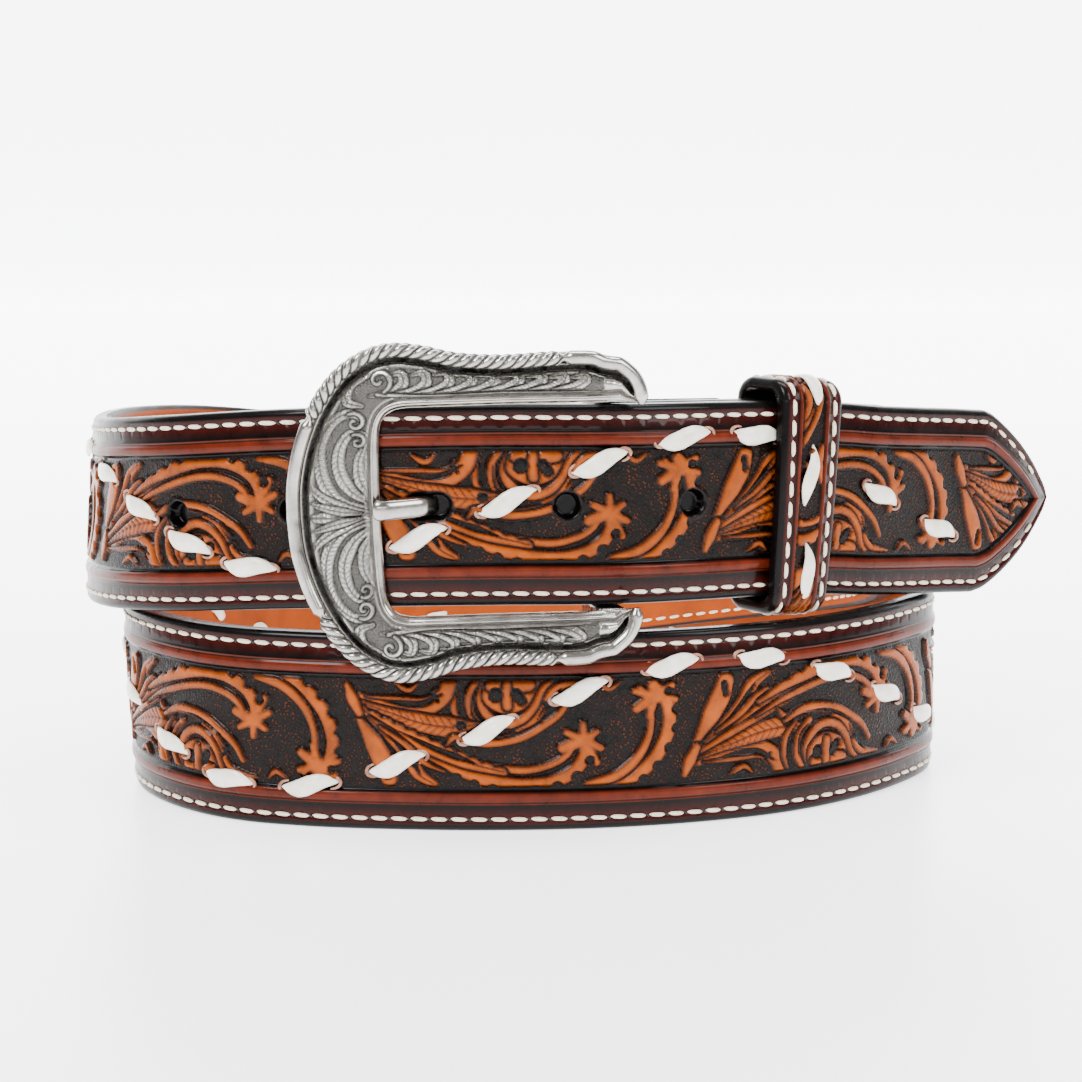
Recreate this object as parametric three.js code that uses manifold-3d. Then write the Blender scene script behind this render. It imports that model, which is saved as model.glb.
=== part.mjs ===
// A western tooled leather belt, buckled and coiled in two turns on its lower edge.
// Millimetres, +Z up. The buckle faces -Y, and the coil stands on z = 0.
import * as THREE from "three";
import { mergeVertices } from "three/addons/utils/BufferGeometryUtils.js";
import Module from "manifold-3d";

const wasm = await Module();
wasm.setup();

// Strap
const STRAP_WIDTH = 38.1;
const TOOLED_THICKNESS = 2.4;
const LINING_THICKNESS = 1.3;
const SEAM_GAP = 0.3; // between pieces that lie against each other
const EDGE_ROUND = 1.1; // burnished edge of the tooled layer
const BORDER_WIDTH = 5.4; // stitched border, from the edge to the raised rib
const RIB_WIDTH = 2.5;
const RIB_HEIGHT = 0.4;
const RIB_SLOPE = 0.5; // width of each flank of the rib
const TIP_LENGTH = 24.7;
const STRAP_STEP = 13.1; // length of a facet along the strap

// Coil
const COIL_RADIUS = 84;
const TURN_CLEARANCE = 0.35; // between the billet and the ribs of the strap end under it
const BAR_BEARING = -79; // where the buckle bar stands on the coil, in degrees

// Holes, counted from the one that the prong uses
const HOLE_DIAMETER = 4.8;
const HOLE_PITCH = 25.4;
const PRONG_HOLE_REACH = 34.2; // from the buckle bar to the hole in use
const PRONG_HOLE_STRETCH = 3.4; // how far the hole in use has pulled long
const HOLES_TO_BAR = 3; // holes on the tip's side of the one in use
const HOLES_PAST = 2;

// Buckle
const FRAME_REACH = 59.6; // from the bar to the far side of the frame
const FRAME_HEIGHT = 63.5;
const FRAME_BACK = 4.4; // how far the arms run on past the bar
const WINDOW_REACH = 42.7;
const WINDOW_CLEARANCE = 0.65; // between a strap edge and an arm
const FRAME_CLEARANCE = 0.5; // from the billet's ribs to the back of the frame
const FRAME_DOME = 4.3; // highest point of the panel above the billet
const FRAME_ROLL = 1.4; // degrees, the far side of the frame hangs a little low
const RIM_WIDTH = 2.2;
const CHANNEL_WIDTH = 1.4;
const LIP_WIDTH = 2.0;
const LIP_HEIGHT = 2.7; // top of the inner lip above the billet
const ROPE_RADIUS = 1.35;
const ROPE_STRAND = 2.1; // from one strand of the rope edge to the next
const ROPE_HEIGHT = 3.1; // middle of the rope above the billet
const SCROLL_WIDTH = 1.1;
const SCROLL_TOP = 4.25; // crest of a scroll above the billet
const BAR_DIAMETER = 3.2;
const LUG_WIDTH = 5.6;
const LUG_THICKNESS = 3.4;
const LUG_OVERLAP = 1; // how deep a lug runs into the back of its arm

// Prong
const PRONG_WIDTH = 4;
const PRONG_THICKNESS = 2.6;
const PRONG_LENGTH = 43.6;
const PRONG_RISE = 57; // degrees, the slope of the prong through its hole
const PRONG_RING_WALL = 1.2;

// Strap end round the bar
const FLAP_LENGTH = 26;
const SLOT_LENGTH = 9; // from the bar back along both layers of the fold
const LINING_SETBACK = 11; // from the bar to the end of the lining

// Keeper
const KEEPER_REACH = 40.7; // from the bar to the middle of the keeper
const KEEPER_WIDTH = 13.6;
const KEEPER_THICKNESS = 2.5;
const KEEPER_CLEARANCE = 0.5; // in front of the billet's ribs and behind the strap end
const KEEPER_SLACK_ABOVE = 2.8; // from the strap to the loop
const KEEPER_SLACK_BELOW = 1;
const KEEPER_ROUND = 4.5;

// Worked out from the sizes above
const STRAP_THICKNESS = TOOLED_THICKNESS + SEAM_GAP + LINING_THICKNESS;
const HALF_WIDTH = STRAP_WIDTH / 2;
const NEST_DEPTH = STRAP_THICKNESS + RIB_HEIGHT + TURN_CLEARANCE;
const BAR_DEPTH = TOOLED_THICKNESS + SEAM_GAP + BAR_DIAMETER / 2; // in the strap end
const FRAME_LIFT = RIB_HEIGHT + FRAME_CLEARANCE;
const WINDOW_HALF = HALF_WIDTH + WINDOW_CLEARANCE;

// The strap's outer face from the tip of the billet, round both turns, to the bar.
// bearing: degrees round the coil's axis, falling as the strap runs on
// reach: distance from the axis as a share of COIL_RADIUS
// lift: height of the lower edge as a share of STRAP_WIDTH
// lean: degrees by which the top leans in; nest: 1 where the strap lies under the billet
const ROUTE = [
  { bearing: -3.1, reach: 1.312, lift: 0.94, lean: 0, nest: 0 },
  { bearing: -13, reach: 1.163, lift: 0.968, lean: 0, nest: 0 },
  { bearing: -20, reach: 1.08, lift: 1.0, lean: 0, nest: 0 },
  { bearing: -27.7, reach: 1.018, lift: 1.029, lean: 0, nest: 0 },
  { bearing: -35.5, reach: 0.974, lift: 1.058, lean: 0, nest: 0 },
  { bearing: -41, reach: 0.951, lift: 1.083, lean: 0, nest: 0 },
  { bearing: -47, reach: 0.936, lift: 1.104, lean: 0, nest: 0 },
  { bearing: -54.5, reach: 0.929, lift: 1.122, lean: 0, nest: 0 },
  { bearing: -65, reach: 0.936, lift: 1.136, lean: 0, nest: 0 },
  { bearing: -74.5, reach: 0.947, lift: 1.143, lean: 0, nest: 0 },
  { bearing: -82, reach: 0.957, lift: 1.148, lean: 0, nest: 0 },
  { bearing: -94, reach: 0.972, lift: 1.153, lean: 0, nest: 0 },
  { bearing: -107.3, reach: 1.004, lift: 1.143, lean: 0, nest: 0 },
  { bearing: -120.2, reach: 1.061, lift: 1.116, lean: 0, nest: 0 },
  { bearing: -127.1, reach: 1.089, lift: 1.092, lean: 0, nest: 0 },
  { bearing: -134.3, reach: 1.121, lift: 1.062, lean: 0, nest: 0 },
  { bearing: -141.8, reach: 1.144, lift: 1.03, lean: 0.8, nest: 0 },
  { bearing: -151, reach: 1.157, lift: 0.992, lean: 2, nest: 0 },
  { bearing: -161, reach: 1.15, lift: 0.96, lean: 3.2, nest: 0 },
  { bearing: -175, reach: 1.122, lift: 0.935, lean: 3.4, nest: 0 },
  { bearing: -190, reach: 1.095, lift: 0.9, lean: 2.6, nest: 0 },
  { bearing: -205, reach: 1.072, lift: 0.85, lean: 1.4, nest: 0 },
  { bearing: -222, reach: 1.052, lift: 0.76, lean: 0.4, nest: 0 },
  { bearing: -246, reach: 1.036, lift: 0.6, lean: 0, nest: 0 },
  { bearing: -270, reach: 1.026, lift: 0.43, lean: 0, nest: 0 },
  { bearing: -294, reach: 1.02, lift: 0.26, lean: 0, nest: 0 },
  { bearing: -316, reach: 1.01, lift: 0.12, lean: 0, nest: 0 },
  { bearing: -335, reach: 1, lift: 0.03, lean: 0, nest: 0 },
  { bearing: -350, reach: 0.995, lift: 0, lean: 0, nest: 0 },
  { bearing: -364, reach: 1.008, lift: 0, lean: 0, nest: 0 },
  { bearing: -372, reach: 1.03, lift: 0, lean: 0, nest: 0 },
  { bearing: -379, reach: 1.043, lift: 0, lean: 0, nest: 0 },
  { bearing: -388.5, reach: 1.026, lift: 0, lean: 0, nest: 0 },
  { bearing: -398.8, reach: 1.007, lift: 0, lean: 0, nest: 0 },
  { bearing: -410.3, reach: 0.987, lift: 0, lean: 0, nest: 0 },
  { bearing: -426.1, reach: 0.957, lift: 0, lean: 0, nest: 0 },
  { bearing: -440.4, reach: 0.946, lift: 0, lean: 0, nest: 0 },
  { bearing: -454.1, reach: 0.955, lift: 0, lean: 0, nest: 0 },
  { bearing: -467.5, reach: 0.99, lift: 0, lean: 0, nest: 0 },
  { bearing: -480.2, reach: 1.052, lift: 0, lean: 0, nest: 0 },
  { bearing: -487, reach: 1.087, lift: 0, lean: 0, nest: 0 },
  { bearing: -494.1, reach: 1.105, lift: 0, lean: -0.5, nest: 0 },
  { bearing: -503.7, reach: 1.102, lift: 0, lean: -1.5, nest: 0 },
  { bearing: -511.6, reach: 1.082, lift: 0, lean: -2.5, nest: 0 },
  { bearing: -525, reach: 1.02, lift: 0, lean: -3, nest: 0 },
  { bearing: -540, reach: 0.994, lift: 0, lean: -2.5, nest: 0 },
  { bearing: -560, reach: 0.975, lift: 0, lean: -1, nest: 0 },
  { bearing: -582, reach: 0.962, lift: 0.02, lean: 0, nest: 0 },
  { bearing: -606, reach: 0.955, lift: 0.08, lean: 0, nest: 0 },
  { bearing: -630, reach: 0.95, lift: 0.19, lean: 0, nest: 0 },
  { bearing: -655, reach: 0.948, lift: 0.345, lean: 0, nest: 0 },
  { bearing: -680, reach: 0.942, lift: 0.52, lean: 0, nest: 0 },
  { bearing: -704, reach: 0.935, lift: 0.7, lean: 0, nest: 0 },
  { bearing: -716, reach: 0.93, lift: 0.8, lean: 0, nest: 0 },
  { bearing: -728, reach: 0.925, lift: 0.9, lean: 0, nest: 0 },
  { bearing: -737, reach: 0.925, lift: 0.965, lean: 0, nest: 0 },
  { bearing: -744, reach: 0.926, lift: 1.02, lean: 0, nest: 0 },
  { bearing: -752, reach: 0.929, lift: 1.05, lean: 0, nest: 0 },
  { bearing: -761, reach: 0.947, lift: 1.083, lean: 0, nest: 1 },
  { bearing: -767, reach: 0.936, lift: 1.104, lean: 0, nest: 1 },
  { bearing: -774.5, reach: 0.929, lift: 1.122, lean: 0, nest: 1 },
  { bearing: -785, reach: 0.936, lift: 1.136, lean: 0, nest: 1 },
  { bearing: -794.5, reach: 0.947, lift: 1.143, lean: 0, nest: 1 },
  { bearing: -802, reach: 0.957, lift: 1.148, lean: 0, nest: 1 },
  { bearing: -814, reach: 0.972, lift: 1.153, lean: 0, nest: 1 },
];

// Outline of the pointed tip: distance from its end as a share of TIP_LENGTH, and the
// strap's width there as a share of STRAP_WIDTH.
const TIP = [
  { along: 0, width: 0.06 },
  { along: 0.04, width: 0.15 },
  { along: 0.12, width: 0.26 },
  { along: 0.28, width: 0.455 },
  { along: 0.44, width: 0.62 },
  { along: 0.6, width: 0.755 },
  { along: 0.76, width: 0.87 },
  { along: 0.91, width: 0.958 },
  { along: 1.05, width: 1 },
];

// Upper half of the buckle frame, from the end of the arm to the middle of the far side.
// outer: shares of FRAME_REACH and of half FRAME_HEIGHT; inner: shares of WINDOW_REACH
// and of the window's half height. A negative share of reach is one of FRAME_BACK.
const FRAME = [
  { outerReach: -1, outerRise: 0.63, innerReach: -0.94, innerRise: 1 },
  { outerReach: -0.76, outerRise: 0.71, innerReach: -0.66, innerRise: 1 },
  { outerReach: -0.19, outerRise: 0.807, innerReach: -0.2, innerRise: 1 },
  { outerReach: 0.036, outerRise: 0.882, innerReach: 0.045, innerRise: 1 },
  { outerReach: 0.106, outerRise: 0.913, innerReach: 0.155, innerRise: 1 },
  { outerReach: 0.212, outerRise: 0.91, innerReach: 0.31, innerRise: 1 },
  { outerReach: 0.348, outerRise: 0.91, innerReach: 0.51, innerRise: 1 },
  { outerReach: 0.476, outerRise: 0.931, innerReach: 0.69, innerRise: 1 },
  { outerReach: 0.578, outerRise: 0.981, innerReach: 0.81, innerRise: 1 },
  { outerReach: 0.669, outerRise: 1, innerReach: 0.9, innerRise: 0.995 },
  { outerReach: 0.749, outerRise: 0.96, innerReach: 0.955, innerRise: 0.95 },
  { outerReach: 0.832, outerRise: 0.854, innerReach: 0.985, innerRise: 0.85 },
  { outerReach: 0.902, outerRise: 0.685, innerReach: 0.995, innerRise: 0.7 },
  { outerReach: 0.959, outerRise: 0.461, innerReach: 0.998, innerRise: 0.5 },
  { outerReach: 0.992, outerRise: 0.218, innerReach: 1, innerRise: 0.25 },
  { outerReach: 1, outerRise: 0, innerReach: 1, innerRise: 0 },
];

// Rows of the FRAME table between which the rope edge runs, and the rows of its round
// corner, where the rings of the frame stand at half rows.
const ROPE_FROM = 4.7;
const ROPE_TO = 12.4;
const CORNER_FROM = 8;
const CORNER_TO = 13;

// Face of the frame from its outer edge to its inner lip: how far through the rim, the
// channel and the panel each point lies, and its height as a share of FRAME_DOME.
const FRAME_SECTION = [
  { rim: 0, channel: 0, panel: 0, height: 0.5 },
  { rim: 0.25, channel: 0, panel: 0, height: 0.78 },
  { rim: 0.75, channel: 0, panel: 0, height: 0.78 },
  { rim: 1, channel: 0, panel: 0, height: 0.5 },
  { rim: 1, channel: 1, panel: 0, height: 0.5 },
  { rim: 1, channel: 1, panel: 0.06, height: 0.68 },
  { rim: 1, channel: 1, panel: 0.5, height: 1 },
  { rim: 1, channel: 1, panel: 1, height: 0.68 },
];

// Raised scrolls on the frame, mirrored above and below: centre as shares of FRAME_REACH
// and of half FRAME_HEIGHT, radius as a share of half FRAME_HEIGHT, start angle and turns.
const SCROLLS = [
  { reach: 0.82, rise: 0.25, radius: 0.17, start: 200, turns: 1.2 },
  { reach: 0.765, rise: 0.62, radius: 0.16, start: 320, turns: -1.2 },
  { reach: 0.58, rise: 0.785, radius: 0.1, start: 190, turns: 1 },
];

// Section of the prong: shares of half its width and of half its thickness.
const PRONG_SECTION = [
  { across: -1, thick: -0.7 },
  { across: -0.8, thick: -1 },
  { across: 0.8, thick: -1 },
  { across: 1, thick: -0.7 },
  { across: 0.9, thick: 0.35 },
  { across: 0.45, thick: 0.95 },
  { across: -0.45, thick: 0.95 },
  { across: -0.9, thick: 0.35 },
];

const UP = new THREE.Vector3(0, 0, 1);
const radians = THREE.MathUtils.degToRad;

// Value of a column of a table at a place in its key column, on a smooth cubic.
function smooth(table, key, column, at) {
  const sign = Math.sign(table.at(-1)[key] - table[0][key]);
  let i = table.findIndex((row) => sign * (row[key] - at) > 0) - 1;
  if (i === -2) i = table.length - 2;
  i = Math.max(0, i);
  const [a, b] = [table[i], table[i + 1]];
  const slope = (j) => {
    const [p, q] = [table[Math.max(0, j - 1)], table[Math.min(table.length - 1, j + 1)]];
    return (q[column] - p[column]) / (q[key] - p[key]);
  };
  const span = b[key] - a[key];
  const u = (at - a[key]) / span;
  const v = 1 - u;
  return (
    a[column] * v * v * (1 + 2 * u) +
    b[column] * u * u * (1 + 2 * v) +
    span * u * v * (slope(i) * v - slope(i + 1) * u)
  );
}

// Point of the strap's outer face on its lower edge at a bearing.
const radialRoute = ROUTE.map((row) => ({
  ...row,
  radius: row.reach * COIL_RADIUS - row.nest * NEST_DEPTH,
}));

function edgePoint(bearing) {
  const radius = smooth(radialRoute, "bearing", "radius", bearing);
  const lift = Math.max(0, smooth(ROUTE, "bearing", "lift", bearing)) * STRAP_WIDTH;
  const angle = radians(bearing);
  return new THREE.Vector3(radius * Math.cos(angle), radius * Math.sin(angle), lift);
}

// Length along the strap at every half degree of bearing.
const BEARING_STEP = 0.5;
const runs = [{ bearing: ROUTE[0].bearing, length: 0 }];
while (runs.at(-1).bearing > BAR_BEARING - 720) {
  const last = runs.at(-1);
  const bearing = Math.max(last.bearing - BEARING_STEP, BAR_BEARING - 720);
  const step = edgePoint(bearing).distanceTo(edgePoint(last.bearing));
  runs.push({ bearing, length: last.length + step });
}
const STRAP_RUN = runs.at(-1).length; // from the tip to the bar

function linear(from, to, at) {
  let i = runs.findIndex((row) => (row[from] - at) * (from === "length" ? 1 : -1) >= 0);
  if (i < 1) i = i === 0 ? 1 : runs.length - 1;
  const [a, b] = [runs[i - 1], runs[i]];
  return a[to] + ((at - a[from]) / (b[from] - a[from])) * (b[to] - a[to]);
}
const lengthAt = (bearing) => linear("bearing", "length", bearing);
const bearingAt = (length) => linear("length", "bearing", length);
const BILLET_BAR = lengthAt(BAR_BEARING); // the bar's place along the billet over it

// Directions of the strap at a length from its tip: along it, up its face and out of it.
function strapAt(length) {
  const bearing = bearingAt(length);
  const point = edgePoint(bearing);
  const along = edgePoint(bearing - BEARING_STEP)
    .sub(edgePoint(bearing + BEARING_STEP))
    .normalize();
  const up = UP.clone().addScaledVector(along, -along.z).normalize();
  up.applyAxisAngle(along, radians(smooth(ROUTE, "bearing", "lean", bearing)));
  const out = new THREE.Vector3().crossVectors(up, along);
  return { point, along, up, out };
}

// Point at a length, a height above the lower edge and a distance out of the outer face.
function onStrap(length, height, out) {
  const at = strapAt(length);
  return at.point.addScaledVector(at.up, height).addScaledVector(at.out, out);
}

// Point of the buckle: reach from the bar, rise from its middle, distance out of the billet.
function onBuckle(reach, rise, out) {
  const drop = reach * Math.sin(radians(FRAME_ROLL));
  return onStrap(BILLET_BAR + reach, HALF_WIDTH + rise - drop, out);
}

// A closed solid through rings of points that all have the same count.
function loft(rings) {
  const count = rings[0].length;
  const last = (rings.length - 1) * count;
  const faces = [];
  for (let a = 0; a < last; a += count) {
    const b = a + count;
    for (let j = 0; j < count; j++) {
      const k = (j + 1) % count;
      faces.push(a + j, b + j, b + k, a + j, b + k, a + k);
    }
  }
  capFaces(rings[0]).forEach(([p, q, r]) => faces.push(p, q, r));
  capFaces(rings.at(-1)).forEach(([p, q, r]) => faces.push(last + p, last + r, last + q));
  const geometry = new THREE.BufferGeometry();
  const values = rings.flat().flatMap((p) => [p.x, p.y, p.z]);
  geometry.setAttribute("position", new THREE.Float32BufferAttribute(values, 3));
  geometry.setIndex(faces);
  return solid(geometry);
}

// Triangles of a flat ring of points, wound in the order of the ring.
function capFaces(ring) {
  const normal = new THREE.Vector3();
  ring.forEach((p, i) => {
    const q = ring[(i + 1) % ring.length];
    normal.add(new THREE.Vector3().crossVectors(p, q));
  });
  const side = ring[1].clone().sub(ring[0]).normalize();
  normal.normalize();
  const other = new THREE.Vector3().crossVectors(normal, side);
  const flat = ring.map((p) => new THREE.Vector2(p.dot(side), p.dot(other)));
  return THREE.ShapeUtils.triangulateShape(flat, []);
}

// A three.js geometry as a manifold solid, turned inside in if its faces point inwards.
function solid(geometry) {
  const bare = geometry.clone();
  bare.deleteAttribute("normal");
  bare.deleteAttribute("uv");
  const merged = mergeVertices(bare, 1e-4);
  const make = (triVerts) =>
    new wasm.Manifold(
      new wasm.Mesh({
        numProp: 3,
        vertProperties: merged.attributes.position.array,
        triVerts,
      }),
    );
  const faces = new Uint32Array(merged.index.array);
  const made = make(faces);
  return made.volume() > 0 ? made : make(faces.reverse());
}

function placed(geometry, position, along, up, out) {
  const matrix = new THREE.Matrix4().makeBasis(along, up, out).setPosition(position);
  return solid(geometry.applyMatrix4(matrix));
}

function namedMesh(name, manifold, color, roughness, metalness) {
  const made = manifold.getMesh();
  const geometry = new THREE.BufferGeometry();
  geometry.setAttribute("position", new THREE.BufferAttribute(made.vertProperties, 3));
  geometry.setIndex(new THREE.BufferAttribute(made.triVerts, 1));
  geometry.computeVertexNormals();
  const material = new THREE.MeshStandardMaterial({ color, roughness, metalness });
  const mesh = new THREE.Mesh(geometry, material);
  mesh.name = name;
  return mesh;
}

// Section of the tooled layer, as heights and distances out of the face, for a strap
// that is narrowed to a share of its width.
function tooledSection(share) {
  const half = HALF_WIDTH * share;
  const rib = BORDER_WIDTH + RIB_WIDTH;
  const side = [
    [0, -EDGE_ROUND],
    [EDGE_ROUND, 0],
    [BORDER_WIDTH, 0],
    [BORDER_WIDTH + RIB_SLOPE, RIB_HEIGHT],
    [rib - RIB_SLOPE, RIB_HEIGHT],
    [rib, 0],
  ];
  const lower = side.map(([inset, out]) => [inset * share - half, out]);
  const upper = lower.map(([height, out]) => [-height, out]).reverse();
  return [[-half, -TOOLED_THICKNESS], ...lower, ...upper, [half, -TOOLED_THICKNESS]];
}

function liningSection(share) {
  const half = HALF_WIDTH * share;
  const front = -TOOLED_THICKNESS - SEAM_GAP;
  return [
    [half, front],
    [-half, front],
    [-half, -STRAP_THICKNESS],
    [half, -STRAP_THICKNESS],
  ];
}

// Lengths along the strap where its sections stand: the tip's own, then even steps.
function strapStations() {
  const tip = TIP.map((row) => ({ length: row.along * TIP_LENGTH, share: row.width }));
  const start = tip.at(-1).length;
  const count = Math.ceil((STRAP_RUN - start) / STRAP_STEP);
  const step = (STRAP_RUN - start) / count;
  const body = Array.from({ length: count }, (_, i) => ({
    length: start + (i + 1) * step,
    share: 1,
  }));
  return [...tip, ...body];
}

function strapRing({ point, up, out }, section) {
  return section.map(([height, depth]) =>
    point
      .clone()
      .addScaledVector(up, HALF_WIDTH + height)
      .addScaledVector(out, depth),
  );
}

// Sections of the tooled layer round the bar and back along the inside.
function foldRings() {
  const bar = strapAt(STRAP_RUN);
  const radius = BAR_DEPTH;
  const section = tooledSection(1);
  const bendSteps = 7;
  const bend = Array.from({ length: bendSteps }, (_, i) => {
    const angle = (Math.PI * (i + 1)) / bendSteps;
    const out = bar.out.clone().multiplyScalar(Math.cos(angle));
    out.addScaledVector(bar.along, Math.sin(angle));
    const point = bar.point.clone().addScaledVector(bar.out, -radius);
    point.addScaledVector(out, radius);
    return strapRing({ point, up: bar.up, out }, section);
  });
  const settled = STRAP_THICKNESS + SEAM_GAP + TOOLED_THICKNESS;
  const flapSteps = 4;
  const flap = Array.from({ length: flapSteps }, (_, i) => {
    const share = (i + 1) / flapSteps;
    const at = strapAt(STRAP_RUN - FLAP_LENGTH * share);
    const ease = 1 - (1 - share) ** 3;
    const depth = THREE.MathUtils.lerp(2 * radius, settled, ease);
    const point = at.point.addScaledVector(at.out, -depth);
    return strapRing({ point, up: at.up, out: at.out.clone().negate() }, section);
  });
  return [...bend, ...flap];
}

// Round punches through the billet; the one in use has pulled long.
function punches() {
  const depth = 3 * STRAP_THICKNESS;
  return Array.from({ length: HOLES_TO_BAR + 1 + HOLES_PAST }, (_, i) => {
    const place = i - HOLES_TO_BAR;
    const stretch = place === 0 ? PRONG_HOLE_STRETCH : 0;
    const shape = new THREE.Shape();
    shape.absarc(stretch / 2, 0, HOLE_DIAMETER / 2, -Math.PI / 2, Math.PI / 2);
    shape.absarc(-stretch / 2, 0, HOLE_DIAMETER / 2, Math.PI / 2, 1.5 * Math.PI);
    const settings = { depth, bevelEnabled: false, curveSegments: 4 };
    const geometry = new THREE.ExtrudeGeometry(shape, settings);
    const at = strapAt(BILLET_BAR + PRONG_HOLE_REACH + place * HOLE_PITCH);
    const back = at.point
      .addScaledVector(at.up, HALF_WIDTH)
      .addScaledVector(at.out, -STRAP_THICKNESS / 2 - depth / 2);
    return placed(geometry, back, at.along, at.up, at.out);
  });
}

// The buckle bar's middle, in the fold of the strap end, with the directions there.
function barPlace() {
  const at = strapAt(STRAP_RUN);
  const centre = at.point.addScaledVector(at.up, HALF_WIDTH);
  return { ...at, centre: centre.addScaledVector(at.out, -BAR_DEPTH) };
}

// The slot in the fold that the prong turns in.
function prongSlot() {
  const bar = barPlace();
  const ahead = 3 * BAR_DIAMETER;
  const depth = 4 * BAR_DEPTH;
  const geometry = new THREE.BoxGeometry(
    SLOT_LENGTH + ahead,
    PRONG_WIDTH + 2 * WINDOW_CLEARANCE,
    depth,
  );
  const middle = bar.centre.addScaledVector(bar.along, (ahead - SLOT_LENGTH) / 2);
  return placed(geometry, middle, bar.along, bar.up, bar.out);
}

function tooledStrap() {
  const main = strapStations().map(({ length, share }) =>
    strapRing(strapAt(length), tooledSection(share)),
  );
  const cuts = [...punches(), prongSlot()];
  return cuts.reduce((body, cut) => body.subtract(cut), loft([...main, ...foldRings()]));
}

function strapLining() {
  const rings = strapStations()
    .filter(({ length }) => length < STRAP_RUN - LINING_SETBACK)
    .map(({ length, share }) => strapRing(strapAt(length), liningSection(share)));
  return punches().reduce((body, cut) => body.subtract(cut), loft(rings));
}

// Outer and inner edge of the buckle frame at a place in the FRAME table. Places past
// its last row are the mirrored lower half.
const FRAME_END = FRAME.length - 1;
const frameRows = FRAME.map((row, index) => ({ ...row, index }));

function frameEdges(place) {
  const lower = place > FRAME_END;
  const at = lower ? 2 * FRAME_END - place : place;
  const value = (column) => smooth(frameRows, "index", column, at);
  const side = lower ? -1 : 1;
  const reach = (share, ahead) => share * (share < 0 ? FRAME_BACK : ahead);
  return {
    outer: new THREE.Vector2(
      reach(value("outerReach"), FRAME_REACH),
      (side * value("outerRise") * FRAME_HEIGHT) / 2,
    ),
    inner: new THREE.Vector2(
      reach(value("innerReach"), WINDOW_REACH),
      side * value("innerRise") * WINDOW_HALF,
    ),
  };
}

// Section of the frame at a width, as distances from its outer edge and out of the
// billet. Where the frame is narrow all of it is smaller in proportion.
function frameSection(width) {
  const fixed = RIM_WIDTH + CHANNEL_WIDTH + LIP_WIDTH;
  const share = Math.min(1, width / (1.5 * fixed));
  const rise = (height) => FRAME_LIFT + (height - FRAME_LIFT) * share;
  const panelWidth = width - fixed * share;
  const face = FRAME_SECTION.map(({ rim, channel, panel, height }) => [
    (rim * RIM_WIDTH + channel * CHANNEL_WIDTH) * share + panel * panelWidth,
    rise(height * FRAME_DOME),
  ]);
  const lip = LIP_WIDTH * share;
  return [
    [0, FRAME_LIFT],
    ...face,
    [width - 0.65 * lip, rise(0.95 * LIP_HEIGHT)],
    [width - 0.3 * lip, rise(LIP_HEIGHT)],
    [width, rise(0.65 * LIP_HEIGHT)],
    [width, FRAME_LIFT],
    [(2 * width) / 3, FRAME_LIFT],
    [width / 3, FRAME_LIFT],
  ];
}

// Places along the FRAME table where the rings of the frame stand.
function framePlaces() {
  const upper = [];
  let place = 0;
  while (place < FRAME_END) {
    upper.push(place);
    place += place >= CORNER_FROM && place < CORNER_TO ? 0.5 : 1;
  }
  const lower = upper.map((at) => 2 * FRAME_END - at).reverse();
  return [...upper, FRAME_END, ...lower];
}

function frameBody() {
  const rings = framePlaces().map((place) => {
    const { outer, inner } = frameEdges(place);
    const across = inner.clone().sub(outer);
    const width = across.length();
    return frameSection(width).map(([along, out]) => {
      const at = outer.clone().addScaledVector(across, along / width);
      return onBuckle(at.x, at.y, out);
    });
  });
  return loft(rings);
}

// The twisted rope edge over one corner of the frame: a square section that turns an
// eighth at each half strand.
function ropeEdge(from, to) {
  const samples = 80;
  const line = Array.from({ length: samples + 1 }, (_, i) => {
    const { outer, inner } = frameEdges(from + ((to - from) * i) / samples);
    const inward = inner.sub(outer).normalize();
    const at = outer.addScaledVector(inward, RIM_WIDTH / 2);
    return onBuckle(at.x, at.y, ROPE_HEIGHT);
  });
  const curve = new THREE.CatmullRomCurve3(line);
  const count = Math.round(curve.getLength() / (ROPE_STRAND / 2));
  const rings = Array.from({ length: count + 1 }, (_, i) => {
    const point = curve.getPointAt(i / count);
    const along = curve.getTangentAt(i / count);
    const out = strapAt(BILLET_BAR).out.clone();
    const side = new THREE.Vector3().crossVectors(along, out).normalize();
    out.crossVectors(side, along);
    return [0, 1, 2, 3].map((corner) => {
      const angle = (corner * Math.PI) / 2 + (i * Math.PI) / 4;
      return point
        .clone()
        .addScaledVector(side, ROPE_RADIUS * Math.cos(angle))
        .addScaledVector(out, ROPE_RADIUS * Math.sin(angle));
    });
  });
  return loft(rings);
}

// A raised scroll: a ridge on a spiral that tightens to its eye.
function scrollRidge({ reach, rise, radius, start, turns }, side) {
  const steps = 8;
  const centre = [reach * FRAME_REACH, (side * rise * FRAME_HEIGHT) / 2];
  const outerRadius = (radius * FRAME_HEIGHT) / 2;
  const rings = Array.from({ length: steps + 1 }, (_, i) => {
    const share = i / steps;
    const angle = side * (radians(start) + share * turns * 2 * Math.PI);
    const middle = outerRadius * (1 - 0.82 * share);
    const half = (SCROLL_WIDTH / 2) * (1 - 0.4 * share);
    const point = (distance, out) =>
      onBuckle(
        centre[0] + distance * Math.cos(angle),
        centre[1] + distance * Math.sin(angle),
        out,
      );
    return [
      point(middle - half, 2 * FRAME_LIFT),
      point(middle, SCROLL_TOP),
      point(middle + half, 2 * FRAME_LIFT),
    ];
  });
  return loft(rings);
}

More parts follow.
